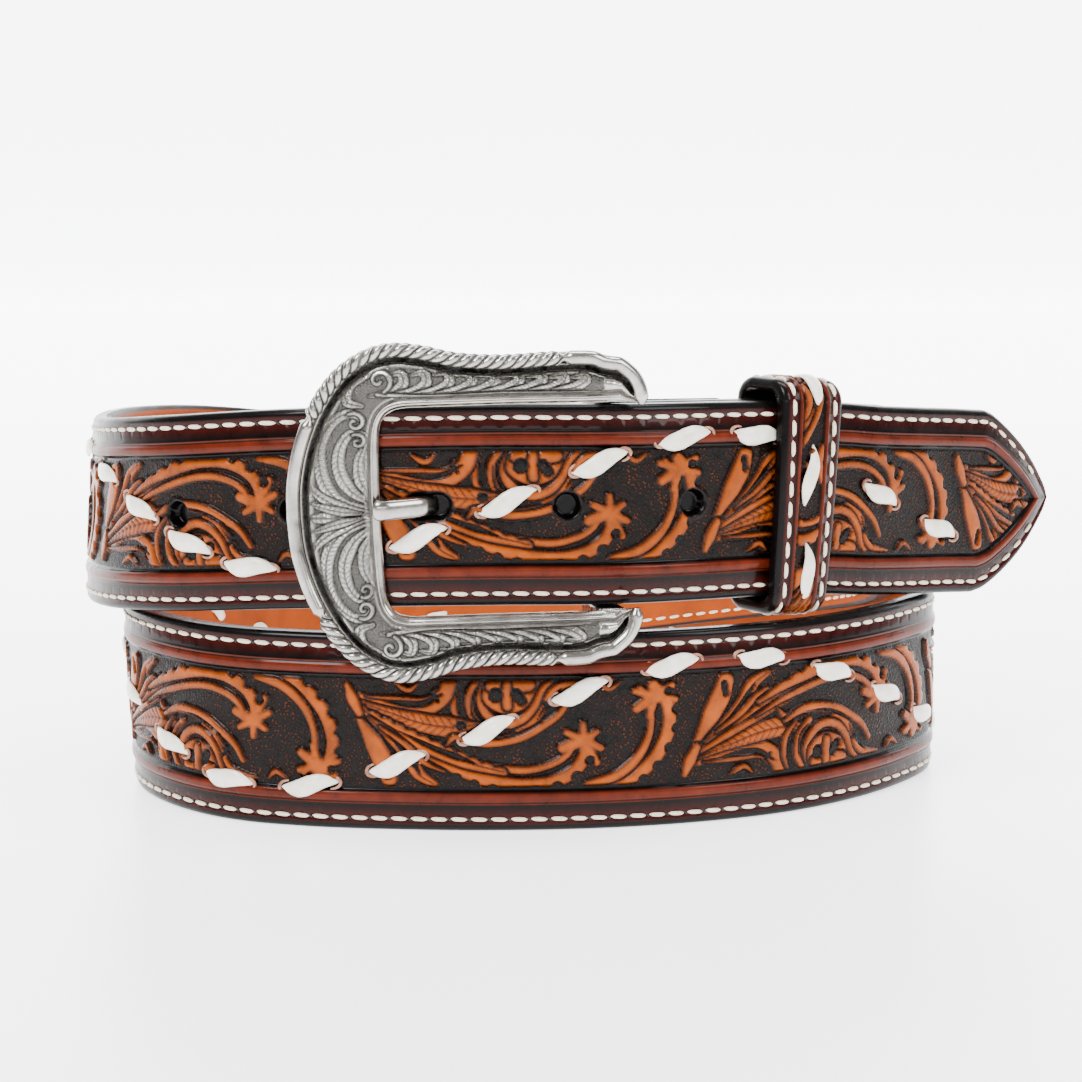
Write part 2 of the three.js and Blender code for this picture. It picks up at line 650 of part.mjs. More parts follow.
// The bar and the lugs that carry it, behind the ends of the arms.
function buckleBar() {
  const bar = barPlace();
  const lugMiddle = WINDOW_HALF + LUG_THICKNESS / 2;
  const radius = BAR_DIAMETER / 2;
  const rod = new THREE.CylinderGeometry(radius, radius, 2 * lugMiddle, 12);
  const pieces = [placed(rod, bar.centre, bar.along, bar.up, bar.out)];
  const behind = 0.8 * BAR_DIAMETER;
  const depth = behind + BAR_DEPTH + NEST_DEPTH + FRAME_LIFT + LUG_OVERLAP;
  for (const side of [-1, 1]) {
    const lug = new THREE.BoxGeometry(LUG_WIDTH, LUG_THICKNESS, depth);
    const middle = bar.centre
      .clone()
      .addScaledVector(bar.up, side * lugMiddle)
      .addScaledVector(bar.out, depth / 2 - behind);
    pieces.push(placed(lug, middle, bar.along, bar.up, bar.out));
  }
  return pieces;
}

function buckleFrame() {
  const ropes = [
    ropeEdge(ROPE_FROM, ROPE_TO),
    ropeEdge(2 * FRAME_END - ROPE_TO, 2 * FRAME_END - ROPE_FROM),
  ];
  const scrolls = SCROLLS.flatMap((row) => [scrollRidge(row, 1), scrollRidge(row, -1)]);
  const parts = [...buckleBar(), ...ropes, ...scrolls];
  return parts.reduce((body, part) => body.add(part), frameBody());
}

// Middle line of the prong, as reach from the bar and distance out of the billet: under
// the billet, up through its hole and on to the lip of the frame.
function prongLine() {
  const half = PRONG_THICKNESS / 2;
  const under = -STRAP_THICKNESS - SEAM_GAP - half;
  const over = SEAM_GAP + half;
  const slope = Math.tan(radians(PRONG_RISE));
  const atHole = (out) => PRONG_HOLE_REACH + (out + STRAP_THICKNESS / 2) / slope;
  const lip = LIP_HEIGHT + SEAM_GAP + half;
  const ringTop = -NEST_DEPTH - TOOLED_THICKNESS + 0.4 * PRONG_THICKNESS;
  return [
    [0, ringTop],
    [0.14 * PRONG_HOLE_REACH, under - 0.2],
    [0.8 * PRONG_HOLE_REACH, under],
    [atHole(under) - 1.1 * half, under + 0.1],
    [atHole(-STRAP_THICKNESS), -STRAP_THICKNESS],
    [atHole(0), 0],
    [atHole(over) + 0.9 * half, over],
    [(atHole(over) + WINDOW_REACH) / 2, (over + lip) / 2],
    [WINDOW_REACH - LIP_WIDTH / 2, lip],
    [PRONG_LENGTH - 0.6, lip + 0.05],
    [PRONG_LENGTH, lip - 0.1],
  ];
}

function buckleProng() {
  const line = prongLine();
  const last = line.length - 1;
  const rings = line.map(([reach, out], i) => {
    const [before, after] = [line[Math.max(0, i - 1)], line[Math.min(last, i + 1)]];
    const run = new THREE.Vector2(after[0] - before[0], after[1] - before[1]).normalize();
    const end = i === last ? 0.55 : i === last - 1 ? 0.85 : 1;
    const halfWidth = (PRONG_WIDTH / 2) * end;
    const half = (PRONG_THICKNESS / 2) * end;
    return PRONG_SECTION.map(({ across, thick }) => {
      const offset = thick * half;
      const at = BILLET_BAR + reach - run.y * offset;
      return onStrap(at, HALF_WIDTH + across * halfWidth, out + run.x * offset);
    });
  });
  return loft(rings).add(prongRing());
}

// The ring of the prong, open round the bar with a running gap.
function prongRing() {
  const inside = BAR_DIAMETER / 2 + SEAM_GAP;
  const outside = inside + PRONG_RING_WALL;
  const half = PRONG_WIDTH / 2;
  const profile = [
    new THREE.Vector2(inside, -half),
    new THREE.Vector2(outside, -half),
    new THREE.Vector2(outside, half),
    new THREE.Vector2(inside, half),
    new THREE.Vector2(inside, -half),
  ];
  const bar = barPlace();
  const ring = new THREE.LatheGeometry(profile, 14);
  return placed(ring, bar.centre, bar.along, bar.up, bar.out);
}

// A rectangle with rounded corners, as points from its middle.
function roundedRectangle(width, depth, radius) {
  const steps = 3;
  const points = [];
  for (let corner = 0; corner < 4; corner++) {
    const signX = corner === 0 || corner === 3 ? 1 : -1;
    const signY = corner < 2 ? 1 : -1;
    for (let i = 0; i <= steps; i++) {
      const angle = ((corner + i / steps) * Math.PI) / 2;
      points.push([
        signX * (width / 2 - radius) + radius * Math.cos(angle),
        signY * (depth / 2 - radius) + radius * Math.sin(angle),
      ]);
    }
  }
  return points;
}

// The keeper: a stiff leather loop round the billet and the strap end under it.
function keeperLoop() {
  const insideDepth = RIB_HEIGHT + NEST_DEPTH + STRAP_THICKNESS + 2 * KEEPER_CLEARANCE;
  const insideHeight = STRAP_WIDTH + KEEPER_SLACK_ABOVE + KEEPER_SLACK_BELOW;
  const rise = (KEEPER_SLACK_ABOVE - KEEPER_SLACK_BELOW) / 2;
  const wall = 2 * KEEPER_THICKNESS;
  const corner = KEEPER_ROUND - KEEPER_THICKNESS;
  const outer = roundedRectangle(insideHeight + wall, insideDepth + wall, KEEPER_ROUND);
  const inner = roundedRectangle(insideHeight, insideDepth, corner);
  const steps = 3;
  const rings = (shape, overrun) =>
    Array.from({ length: steps + 1 }, (_, i) => {
      const along = (i / steps - 0.5) * (KEEPER_WIDTH + overrun);
      return shape.map(([height, out]) =>
        onStrap(
          BILLET_BAR - KEEPER_REACH + along,
          HALF_WIDTH + rise + height,
          out - insideDepth / 2 + KEEPER_CLEARANCE + RIB_HEIGHT,
        ),
      );
    });
  return loft(rings(outer, 0)).subtract(loft(rings(inner, 2)));
}

const belt = new THREE.Group();
belt.add(namedMesh("tooled_strap", tooledStrap(), 0x8a4218, 0.4, 0));
belt.add(namedMesh("strap_lining", strapLining(), 0xb8692c, 0.6, 0));
belt.add(namedMesh("keeper_loop", keeperLoop(), 0x4a1c14, 0.4, 0));
belt.add(namedMesh("buckle_frame", buckleFrame(), 0xb8b8b4, 0.3, 1));
belt.add(namedMesh("buckle_prong", buckleProng(), 0xc4c4c0, 0.25, 1));

// The middle of the belt's footprint stands on the origin.
const bounds = new THREE.Box3().setFromObject(belt, true);
const middle = bounds.getCenter(new THREE.Vector3());
belt.position.set(-middle.x, -middle.y, -bounds.min.z);

export default belt;
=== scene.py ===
# A western tooled belt, buckled and coiled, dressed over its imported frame.
# Lengths below are in millimetres; MM turns them into metres where meshes are made.
import math

import bpy
import numpy as np
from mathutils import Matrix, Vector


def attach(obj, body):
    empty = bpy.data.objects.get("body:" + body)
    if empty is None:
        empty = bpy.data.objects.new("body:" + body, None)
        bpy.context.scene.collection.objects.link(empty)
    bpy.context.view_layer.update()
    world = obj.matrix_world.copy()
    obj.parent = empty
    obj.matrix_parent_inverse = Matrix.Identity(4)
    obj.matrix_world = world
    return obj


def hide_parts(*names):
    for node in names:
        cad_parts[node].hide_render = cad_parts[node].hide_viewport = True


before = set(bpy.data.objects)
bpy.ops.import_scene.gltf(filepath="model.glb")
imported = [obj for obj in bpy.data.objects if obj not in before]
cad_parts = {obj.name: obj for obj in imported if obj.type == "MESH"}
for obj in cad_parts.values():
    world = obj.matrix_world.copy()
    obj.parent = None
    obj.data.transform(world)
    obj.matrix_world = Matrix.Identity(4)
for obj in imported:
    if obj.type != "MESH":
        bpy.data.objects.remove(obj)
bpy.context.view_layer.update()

MM = 0.001

# Strap, as in the part's source
STRAP_WIDTH = 38.1
TOOLED_THICKNESS = 2.4
LINING_THICKNESS = 1.3
SEAM_GAP = 0.3
RIB_HEIGHT = 0.4
TIP_LENGTH = 24.7
COIL_RADIUS = 84
TURN_CLEARANCE = 0.35
BAR_BEARING = -79
COIL_AXIS = np.array([-8.495, -0.395, 0.0])  # where the coil's axis stands in the frame

HOLE_DIAMETER = 4.8
HOLE_PITCH = 25.4
PRONG_HOLE_REACH = 34.2
PRONG_HOLE_STRETCH = 3.4
HOLES_TO_BAR = 3
HOLES_PAST = 2

# Buckle
FRAME_REACH = 59.6
FRAME_HEIGHT = 63.5
FRAME_BACK = 4.4
WINDOW_REACH = 42.7
WINDOW_CLEARANCE = 0.65
FRAME_CLEARANCE = 0.5
FRAME_DOME = 4.3
FRAME_ROLL = 1.4
RIM_WIDTH = 2.2
CHANNEL_WIDTH = 1.4
LIP_WIDTH = 2.0
LIP_HEIGHT = 2.7
ROPE_RADIUS = 1.35
ROPE_STRAND = 2.1
ROPE_HEIGHT = 3.1
BAR_DIAMETER = 3.2
LUG_WIDTH = 5.6
LUG_THICKNESS = 3.4
PRONG_WIDTH = 4
PRONG_THICKNESS = 2.6
PRONG_LENGTH = 43.6
PRONG_RISE = 57
PRONG_RING_WALL = 1.2

# Strap end and keeper
FLAP_LENGTH = 26
LINING_SETBACK = 11
KEEPER_REACH = 40.7
KEEPER_WIDTH = 13.6
KEEPER_THICKNESS = 2.5
KEEPER_CLEARANCE = 0.5
KEEPER_SLACK_ABOVE = 1.9
KEEPER_SLACK_BELOW = 1
KEEPER_ROUND = 4.5

STRAP_THICKNESS = TOOLED_THICKNESS + SEAM_GAP + LINING_THICKNESS
HALF_WIDTH = STRAP_WIDTH / 2
NEST_DEPTH = STRAP_THICKNESS + RIB_HEIGHT + TURN_CLEARANCE
BAR_DEPTH = TOOLED_THICKNESS + SEAM_GAP + BAR_DIAMETER / 2
FRAME_LIFT = RIB_HEIGHT + FRAME_CLEARANCE
WINDOW_HALF = HALF_WIDTH + WINDOW_CLEARANCE

# Route of the strap's outer face: bearing in degrees, reach as a share of COIL_RADIUS,
# lift as a share of STRAP_WIDTH, lean in degrees, nest 1 under the billet.
ROUTE = np.array([
    (-3.1, 1.312, 0.94, 0, 0), (-13, 1.163, 0.968, 0, 0), (-20, 1.08, 1, 0, 0),
    (-27.7, 1.018, 1.029, 0, 0), (-35.5, 0.974, 1.058, 0, 0), (-41, 0.951, 1.083, 0, 0),
    (-47, 0.936, 1.104, 0, 0), (-54.5, 0.929, 1.122, 0, 0), (-65, 0.936, 1.136, 0, 0),
    (-74.5, 0.947, 1.143, 0, 0), (-82, 0.957, 1.148, 0, 0), (-94, 0.972, 1.153, 0, 0),
    (-107.3, 1.004, 1.143, 0, 0), (-120.2, 1.061, 1.116, 0, 0), (-127.1, 1.089, 1.092, 0, 0),
    (-134.3, 1.121, 1.062, 0, 0), (-141.8, 1.144, 1.03, 0.8, 0), (-151, 1.157, 0.992, 2, 0),
    (-161, 1.15, 0.96, 3.2, 0), (-175, 1.122, 0.935, 3.4, 0), (-190, 1.095, 0.9, 2.6, 0),
    (-205, 1.072, 0.85, 1.4, 0), (-222, 1.052, 0.76, 0.4, 0), (-246, 1.036, 0.6, 0, 0),
    (-270, 1.026, 0.43, 0, 0), (-294, 1.02, 0.26, 0, 0), (-316, 1.01, 0.12, 0, 0),
    (-335, 1, 0.03, 0, 0), (-350, 0.995, 0, 0, 0), (-364, 1.008, 0, 0, 0),
    (-372, 1.03, 0, 0, 0), (-379, 1.043, 0, 0, 0), (-388.5, 1.026, 0, 0, 0),
    (-398.8, 1.007, 0, 0, 0), (-410.3, 0.987, 0, 0, 0), (-426.1, 0.957, 0, 0, 0),
    (-440.4, 0.946, 0, 0, 0), (-454.1, 0.955, 0, 0, 0), (-467.5, 0.99, 0, 0, 0),
    (-480.2, 1.052, 0, 0, 0), (-487, 1.087, 0, 0, 0), (-494.1, 1.105, 0, -0.5, 0),
    (-503.7, 1.102, 0, -1.5, 0), (-511.6, 1.082, 0, -2.5, 0), (-525, 1.02, 0, -3, 0),
    (-540, 0.994, 0, -2.5, 0), (-560, 0.975, 0, -1, 0), (-582, 0.962, 0.02, 0, 0),
    (-606, 0.955, 0.08, 0, 0), (-630, 0.95, 0.19, 0, 0), (-655, 0.948, 0.345, 0, 0),
    (-680, 0.942, 0.52, 0, 0), (-704, 0.935, 0.7, 0, 0), (-716, 0.93, 0.8, 0, 0),
    (-728, 0.925, 0.9, 0, 0), (-737, 0.925, 0.965, 0, 0), (-744, 0.926, 1.02, 0, 0),
    (-752, 0.929, 1.05, 0, 0), (-761, 0.947, 1.083, 0, 1), (-767, 0.936, 1.104, 0, 1),
    (-774.5, 0.929, 1.122, 0, 1), (-785, 0.936, 1.136, 0, 1), (-794.5, 0.947, 1.143, 0, 1),
    (-802, 0.957, 1.148, 0, 1), (-814, 0.972, 1.153, 0, 1),
])

# Outline of the tip: share of TIP_LENGTH from its end, and share of the strap's width.
TIP = np.array([
    (0, 0.06), (0.04, 0.15), (0.12, 0.26), (0.28, 0.455), (0.44, 0.62),
    (0.6, 0.755), (0.76, 0.87), (0.91, 0.958), (1.05, 1),
])


def smooth(keys, values, at):
    """Value at a place in the key column, on the same cubic as the part's source."""
    at = np.asarray(at, float)
    sign = np.sign(keys[-1] - keys[0])
    slopes = np.empty(len(keys))
    slopes[1:-1] = (values[2:] - values[:-2]) / (keys[2:] - keys[:-2])
    slopes[0] = (values[1] - values[0]) / (keys[1] - keys[0])
    slopes[-1] = (values[-1] - values[-2]) / (keys[-1] - keys[-2])
    i = np.clip(np.searchsorted(sign * keys, sign * at, side="right") - 1, 0, len(keys) - 2)
    span = keys[i + 1] - keys[i]
    u = (at - keys[i]) / span
    v = 1 - u
    return (
        values[i] * v * v * (1 + 2 * u)
        + values[i + 1] * u * u * (1 + 2 * v)
        + span * u * v * (slopes[i] * v - slopes[i + 1] * u)
    )


BEARINGS, REACHES, LIFTS, LEANS, NESTS = ROUTE.T
RADII = REACHES * COIL_RADIUS - NESTS * NEST_DEPTH
BEARING_STEP = 0.5


def edge_point(bearing):
    radius = smooth(BEARINGS, RADII, bearing)
    lift = np.maximum(0, smooth(BEARINGS, LIFTS, bearing)) * STRAP_WIDTH
    angle = np.radians(bearing)
    return np.stack([radius * np.cos(angle), radius * np.sin(angle), lift], -1)


run_bearings = np.arange(BEARINGS[0], BAR_BEARING - 720, -BEARING_STEP)
run_bearings = np.append(run_bearings, BAR_BEARING - 720)
run_steps = np.linalg.norm(np.diff(edge_point(run_bearings), axis=0), axis=1)
run_lengths = np.concatenate([[0], np.cumsum(run_steps)])
STRAP_RUN = run_lengths[-1]
BILLET_BAR = float(np.interp(-BAR_BEARING, -run_bearings, run_lengths))


def unit(vectors):
    return vectors / np.linalg.norm(vectors, axis=-1, keepdims=True)


def strap_at(length):
    """Point on the lower edge and the directions along, up and out, at lengths."""
    past = np.maximum(0, length - STRAP_RUN)
    bearing = np.interp(length, run_lengths, run_bearings)
    point = edge_point(bearing)
    along = unit(edge_point(bearing - BEARING_STEP) - edge_point(bearing + BEARING_STEP))
    up = unit(np.array([0, 0, 1.0]) - along * along[..., 2:3])
    lean = np.radians(smooth(BEARINGS, LEANS, bearing))[..., None]
    up = up * np.cos(lean) + np.cross(along, up) * np.sin(lean)
    out = np.cross(up, along)
    return point + COIL_AXIS + along * past[..., None], along, up, out


def on_strap(length, height, out_by):
    length, height, out_by = np.broadcast_arrays(length, height, out_by)
    point, _, up, out = strap_at(length.astype(float))
    return point + up * height[..., None] + out * out_by[..., None]


def on_buckle(reach, rise, out_by):
    drop = reach * math.sin(math.radians(FRAME_ROLL))
    return on_strap(BILLET_BAR + reach, HALF_WIDTH + rise - drop, out_by)


def linear_colour(red, green, blue):
    """A screen colour of 0 to 255 as linear light."""
    c = np.array([red, green, blue]) / 255
    return np.where(c <= 0.04045, c / 12.92, ((c + 0.055) / 1.055) ** 2.4)


def smoothstep(low, high, value):
    x = np.clip((value - low) / (high - low), 0, 1)
    return x * x * (3 - 2 * x)


# Meshes

def make_mesh(name, points, quads, material, slot, replaces=None, **attributes):
    """A piece from points in millimetres and faces of four corners."""
    mesh = bpy.data.meshes.new(name)
    quads = np.asarray(quads, np.int32)
    mesh.vertices.add(len(points))
    mesh.vertices.foreach_set("co", (np.asarray(points) * MM).astype(np.float32).ravel())
    mesh.loops.add(quads.size)
    mesh.loops.foreach_set("vertex_index", quads.ravel())
    mesh.polygons.add(len(quads))
    mesh.polygons.foreach_set("loop_start", np.arange(0, quads.size, 4, dtype=np.int32))
    mesh.update(calc_edges=True)
    mesh.validate()
    mesh.polygons.foreach_set("use_smooth", np.ones(len(mesh.polygons), bool))
    for key, values in attributes.items():
        values = np.asarray(values, np.float32)
        if values.ndim == 2:
            layer = mesh.attributes.new(key, "FLOAT_COLOR", "POINT")
            rgba = np.concatenate([values, np.ones((len(values), 1), np.float32)], 1)
            layer.data.foreach_set("color", rgba.ravel())
        else:
            layer = mesh.attributes.new(key, "FLOAT", "POINT")
            layer.data.foreach_set("value", values)
    mesh.materials.append(material)
    piece = bpy.data.objects.new(name, mesh)
    bpy.context.scene.collection.objects.link(piece)
    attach(piece, "root")
    if replaces:
        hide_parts(replaces)
    return piece


def grid_quads(rows, columns, wrap_rows=False, wrap_columns=False, start=0):
    """Corners of the faces of a grid of points held row by row."""
    r = np.arange(rows if wrap_rows else rows - 1)
    c = np.arange(columns if wrap_columns else columns - 1)
    r, c = np.meshgrid(r, c, indexing="ij")
    r2, c2 = (r + 1) % rows, (c + 1) % columns
    corners = [r * columns + c, r * columns + c2, r2 * columns + c2, r2 * columns + c]
    return np.stack(corners, -1).reshape(-1, 4) + start


def repeat_template(template, quads, count):
    """Faces of a template's grid, repeated for a number of copies."""
    shifts = np.arange(count)[:, None, None] * len(template)
    return (quads[None] + shifts).reshape(-1, 4)


# Carving: a map of height, tan and cut over one full repeat of the pattern

HALF_REPEAT = 65.0
FIELD_DEPTH = 21.5
FIELD_TOP = 29.8  # height on the strap where the field begins under the upper rib
GROUND = -0.34


def curve_through(points, count=28):
    """Evenly spaced points on a smooth curve through a few points."""
    p = np.asarray(points, float)
    if len(p) < 3:
        share = np.linspace(0, 1, count)[:, None]
        return p[0] * (1 - share) + p[-1] * share
    knots = np.concatenate([[0], np.cumsum(np.linalg.norm(np.diff(p, axis=0), axis=1))])
    at = np.linspace(0, knots[-1], count)
    return np.stack([smooth(knots, p[:, k], at) for k in (0, 1)], -1)


class Carving:
    def __init__(self, length, depth, cell, wraps):
        self.cell = cell
        self.wraps = wraps
        self.length = length
        self.rows = int(round(length / cell))
        self.columns = int(round(depth / cell)) + 1
        shape = (self.rows, self.columns)
        self.height = np.full(shape, GROUND)
        self.tan = np.zeros(shape)
        self.cut = np.zeros(shape)

    def region(self, points, margin):
        low = np.floor((points.min(0) - margin) / self.cell).astype(int)
        high = np.ceil((points.max(0) + margin) / self.cell).astype(int)
        rows = np.arange(low[0], high[0] + 1)
        if not self.wraps:
            rows = rows[(rows >= 0) & (rows < self.rows)]
        columns = np.arange(max(0, low[1]), min(self.columns - 1, high[1]) + 1)
        u, v = np.meshgrid(rows * self.cell, columns * self.cell, indexing="ij")
        return np.ix_(rows % self.rows, columns), u, v

    def measure(self, line, radii, u, v):
        """Distance outside a tapered line, length along it and distance to its side."""
        a, b = line[:-1], line[1:]
        run = b - a
        squared = np.maximum((run**2).sum(1), 1e-9)
        du, dv = u[..., None] - a[:, 0], v[..., None] - a[:, 1]
        share = np.clip((du * run[:, 0] + dv * run[:, 1]) / squared, 0, 1)
        offset_u = du - share * run[:, 0]
        offset_v = dv - share * run[:, 1]
        gap = np.hypot(offset_u, offset_v)
        radius = radii[:-1] + (radii[1:] - radii[:-1]) * share
        nearest = np.argmin(gap - radius, -1)[..., None]
        pick = lambda values: np.take_along_axis(values, nearest, -1)[..., 0]
        lengths = np.sqrt(squared)
        starts = np.concatenate([[0], np.cumsum(lengths)[:-1]])
        along = pick(starts + share * lengths)
        side = pick(np.sign(du * run[:, 1] - dv * run[:, 0]) * gap)
        return pick(gap - radius), along, side

    def leaf(self, points, width, lift, taper, veins=0.0, midrib=False, scallops=0.0, merge=False):
        """A raised leaf, petal or stem along a curve, with a cut all round it.

        A merged leaf grows out of the one below it, with no cut between them.
        """
        line = curve_through(points)
        share = np.linspace(0, 1, len(line))
        radii = np.interp(share, np.linspace(0, 1, len(taper)), taper) * width / 2
        index, u, v = self.region(line, width / 2 + 1.2)
        if u.size == 0:
            return
        gap, along, side = self.measure(line, radii, u, v)
        if scallops:
            gap = gap + 0.42 * (0.5 + 0.5 * np.cos(2 * np.pi * along / scallops)) * (side > 0)
        inside = smoothstep(0.05, -0.12, gap)
        crown = 1 - (1 - np.clip(-gap / (0.42 * width), 0, 1)) ** 2
        top = lift * (0.55 + 0.45 * crown)
        tan = 0.35 + 0.65 * smoothstep(0, -0.9, gap)
        cut = smoothstep(-0.42, -0.02, gap) * 0.8
        if veins:
            wave = np.cos(2 * np.pi * (along + 0.9 * np.abs(side)) / veins)
            line_cut = smoothstep(0.45, 0.95, wave) * smoothstep(0.02, -0.3, gap)
            top = top - 0.14 * line_cut
            cut = np.maximum(cut, 0.75 * line_cut)
        if midrib:
            groove = smoothstep(0.26, 0.1, np.abs(side)) * smoothstep(0, -0.25, gap)
            top = top - 0.16 * groove
            cut = np.maximum(cut, 0.85 * groove)
        beside = smoothstep(0.6, 0.02, gap)
        height = self.height[index]
        lowered = np.minimum(height, GROUND - 0.08 * beside)
        height = height + (lowered - height) * beside
        fading = smoothstep(0.42, 0.1, gap)
        if merge:
            bare = smoothstep(0.5, 0.1, self.tan[index])
            raised = GROUND + (top - GROUND) * inside
            self.height[index] = np.maximum(self.height[index], raised)
            self.tan[index] = np.maximum(self.tan[index], tan * inside)
            dark = np.maximum(self.cut[index] * (1 - inside), fading * (1 - inside))
            dark = dark + cut * inside * bare
            self.cut[index] = self.cut[index] + (dark - self.cut[index]) * np.maximum(bare, inside)
            return
        self.height[index] = height * (1 - inside) + top * inside
        self.tan[index] = self.tan[index] * (1 - fading) * (1 - inside) + tan * inside
        self.cut[index] = np.maximum(self.cut[index] * (1 - inside), fading * (1 - inside))
        self.cut[index] = self.cut[index] * (1 - inside) + cut * inside

    def seed(self, centre, length, width, tilt=0.0, dome=0.3):
        """A dark round hollow, with a raised middle where it is a seed."""
        half = (length - width) / 2
        step = half * np.array([math.cos(math.radians(tilt)), math.sin(math.radians(tilt))])
        centre = np.array(centre)
        line = np.stack([centre - step, centre + step + 1e-3])
        index, u, v = self.region(line, width)
        gap, _, _ = self.measure(line, np.full(2, width / 2), u, v)
        inside = smoothstep(0.08, -0.1, gap)
        middle = smoothstep(-0.18, -0.5, gap)
        self.height[index] = self.height[index] * (1 - inside) + (GROUND + dome * middle) * inside
        self.tan[index] *= 1 - inside
        self.cut[index] = np.maximum(self.cut[index], inside)

    def hollow(self, points, width):
        """A dark trough along the middle of a leaf."""
        line = curve_through(points)
        share = np.linspace(0, 1, len(line))
        radii = np.interp(share, [0, 0.3, 0.75, 1], [0.15, 0.7, 1, 0.3]) * width / 2
        index, u, v = self.region(line, width)
        gap, _, _ = self.measure(line, radii, u, v)
        inside = smoothstep(0.1, -0.2, gap)
        self.height[index] = self.height[index] * (1 - inside) + (GROUND + 0.06) * inside
        self.tan[index] *= 1 - inside
        self.cut[index] = np.maximum(self.cut[index], inside)

    def sample(self, values, u, v):
        """Values of a map at places, on straight lines between its cells."""
        x = np.asarray(u) / self.cell
        y = np.clip(np.asarray(v) / self.cell, 0, self.columns - 1.001)
        if self.wraps:
            x = x % self.rows
        else:
            x = np.clip(x, 0, self.rows - 1.001)
        i, j = np.floor(x).astype(int), np.floor(y).astype(int)
        fx, fy = x - i, y - j
        i2 = (i + 1) % self.rows
        i = i % self.rows
        return (
            values[i, j] * (1 - fx) * (1 - fy) + values[i2, j] * fx * (1 - fy)
            + values[i, j + 1] * (1 - fx) * fy + values[i2, j + 1] * fx * fy
        )


# One half repeat of the strap's pattern: points as (to the right, down from the rib).
# Each row has its width and taper, and some the spacing of veins, a midrib and scallops.
LEAF_LIFT = 0.46
PALM_WIDTH = 3.4
BAND = (0.8, 1, 0.9)
STEM = (0.4, 1, 0.9, 0.4)
EAR = (0.2, 0.45, 0.9, 1, 0.15)
FINGER = (0.7, 1, 0.85)
STRAP_LEAVES = [
    ([(-8.5, 14.8), (-4, 17), (0.6, 18.7), (6, 20.2), (11, 20.8), (16, 20.2), (20.2, 18), (22, 15.2),
     (22.2, 12.4)], 2.9, (0.4, 1, 1, 0.9)),
    ([(-9, 12), (-4, 14.5), (0.6, 16), (6, 17.4), (11.5, 17.8), (15.9, 16.7), (18.6, 15), (19.9, 12.8)],
     1.7, (0.4, 1, 1, 0.9)),
    ([(25, 21.6), (29.8, 20.6), (33.6, 18), (36.2, 15), (37.8, 11.4), (38.2, 8), (37.2, 4.6), (35,
     2.2)], 2.9, (0.5, 1, 1, 0.9)),
    ([(22.6, 21), (27.9, 19.3), (31.8, 16.2), (34, 12.3), (34.6, 8.2), (33.8, 4.7), (32.4, 2.6)], 2, (1,
     1.1, 0.8, 0.8)),
    ([(43.3, 18), (48, 16.8), (51.7, 16.2), (56.7, 16), (60.2, 18.1), (61.6, 21.4)], 3.8, (0.3, 0.8, 1,
     0.8)),
    ([(45, 17.8), (52, 17.6), (57, 17.7), (58.8, 19.6)], 1.1, STEM),
    ([(43.5, 16.8), (50, 14.7), (55.5, 13), (61, 12.2), (67.4, 12.7)], 4.3, EAR, 1.5, True, 0),
    ([(43, 16), (50, 11.9), (58, 8.1), (65, 5.3), (72, 3.4)], 3.4, (0.4, 0.9, 1, 0.9, 0.5), 0, True,
     2.7),
    ([(45.6, 13.6), (50.4, 9.6), (53.6, 6), (55.2, 3), (58.4, 1)], 3.3, (0.3, 0.8, 1, 0.5), 0, True, 0),
    ([(47.6, 12), (52.8, 8.4), (56.4, 5.2), (60.4, 3.4)], 1.6, STEM),
    ([(43, 14.4), (44.2, 12.4), (46.6, 8.4), (48.6, 4.6), (49.4, 2)], 4.4, (0.25, 0.55, 0.9, 1, 0.8)),
    ([(41.2, 20), (42.2, 17.4), (43.6, 14.6)], 2.6, (0.5, 1, 0.7)),
    ([(-2.6, 10.4), (1.5, 12.2), (6, 12.2), (10.4, 11.2), (14.2, 9.2), (17.2, 7), (19.2, 4)], 2.2, (0.5,
     1, 1, 0.8, 0.6)),
    ([(-1.8, 0.4), (-2.8, 3.4), (-2.4, 7.2), (0.2, 10.4)], 1.5, STEM),
    ([(1.8, 0.2), (0.2, 3.2), (0.7, 7), (3.2, 9.9)], 1.8, BAND),
    ([(9.4, 10), (12.6, 7.8), (14.6, 4.6), (17, 1.8), (22, 0.8)], 2.2, (0.5, 1, 0.9, 0.4)),
    ([(3.4, 0.8), (2.4, 4), (3.9, 7.2), (7, 8.8), (10.2, 8), (12.6, 5.4), (14, 2.2), (15.6, 0.6)], 2,
     (0.8, 1, 1, 0.9, 0.6)),
    ([(4.2, 0.8), (3.9, 3.8), (6.8, 5.6), (10.2, 4.8), (12.4, 0.8)], 2.6, BAND),
    ([(4.6, 1.4), (7.5, 1.7), (11.4, 1.2)], 3.2, BAND),
    ([(7.5, 0.8), (7.4, 3.2), (7.6, 5.4)], 2.2, BAND),
    ([(60.8, 8.6), (62.4, 10.2), (64.6, 9.2)], 1.5, STEM),
    ([(24.6, 0.8), (26.4, 2.4), (28.8, 1)], 1.3, STEM),
    ([(50.6, 20.6), (53.4, 19.2), (55.4, 20.8)], 1.4, STEM),
]
STRAP_SEEDS = [
    ((5.4, 3.2), 3.1, 2.9, 80), ((9.7, 3.6), 3.9, 2.2, 125), ((49.3, 3.5), 3.4, 1.5, 100),
    ((63.6, 12.4), 2.3, 1.9, 0), ((14.8, 5.4), 2.4, 0.9, 120), ((58.6, 17.8), 2.2, 0.9, 50),
]
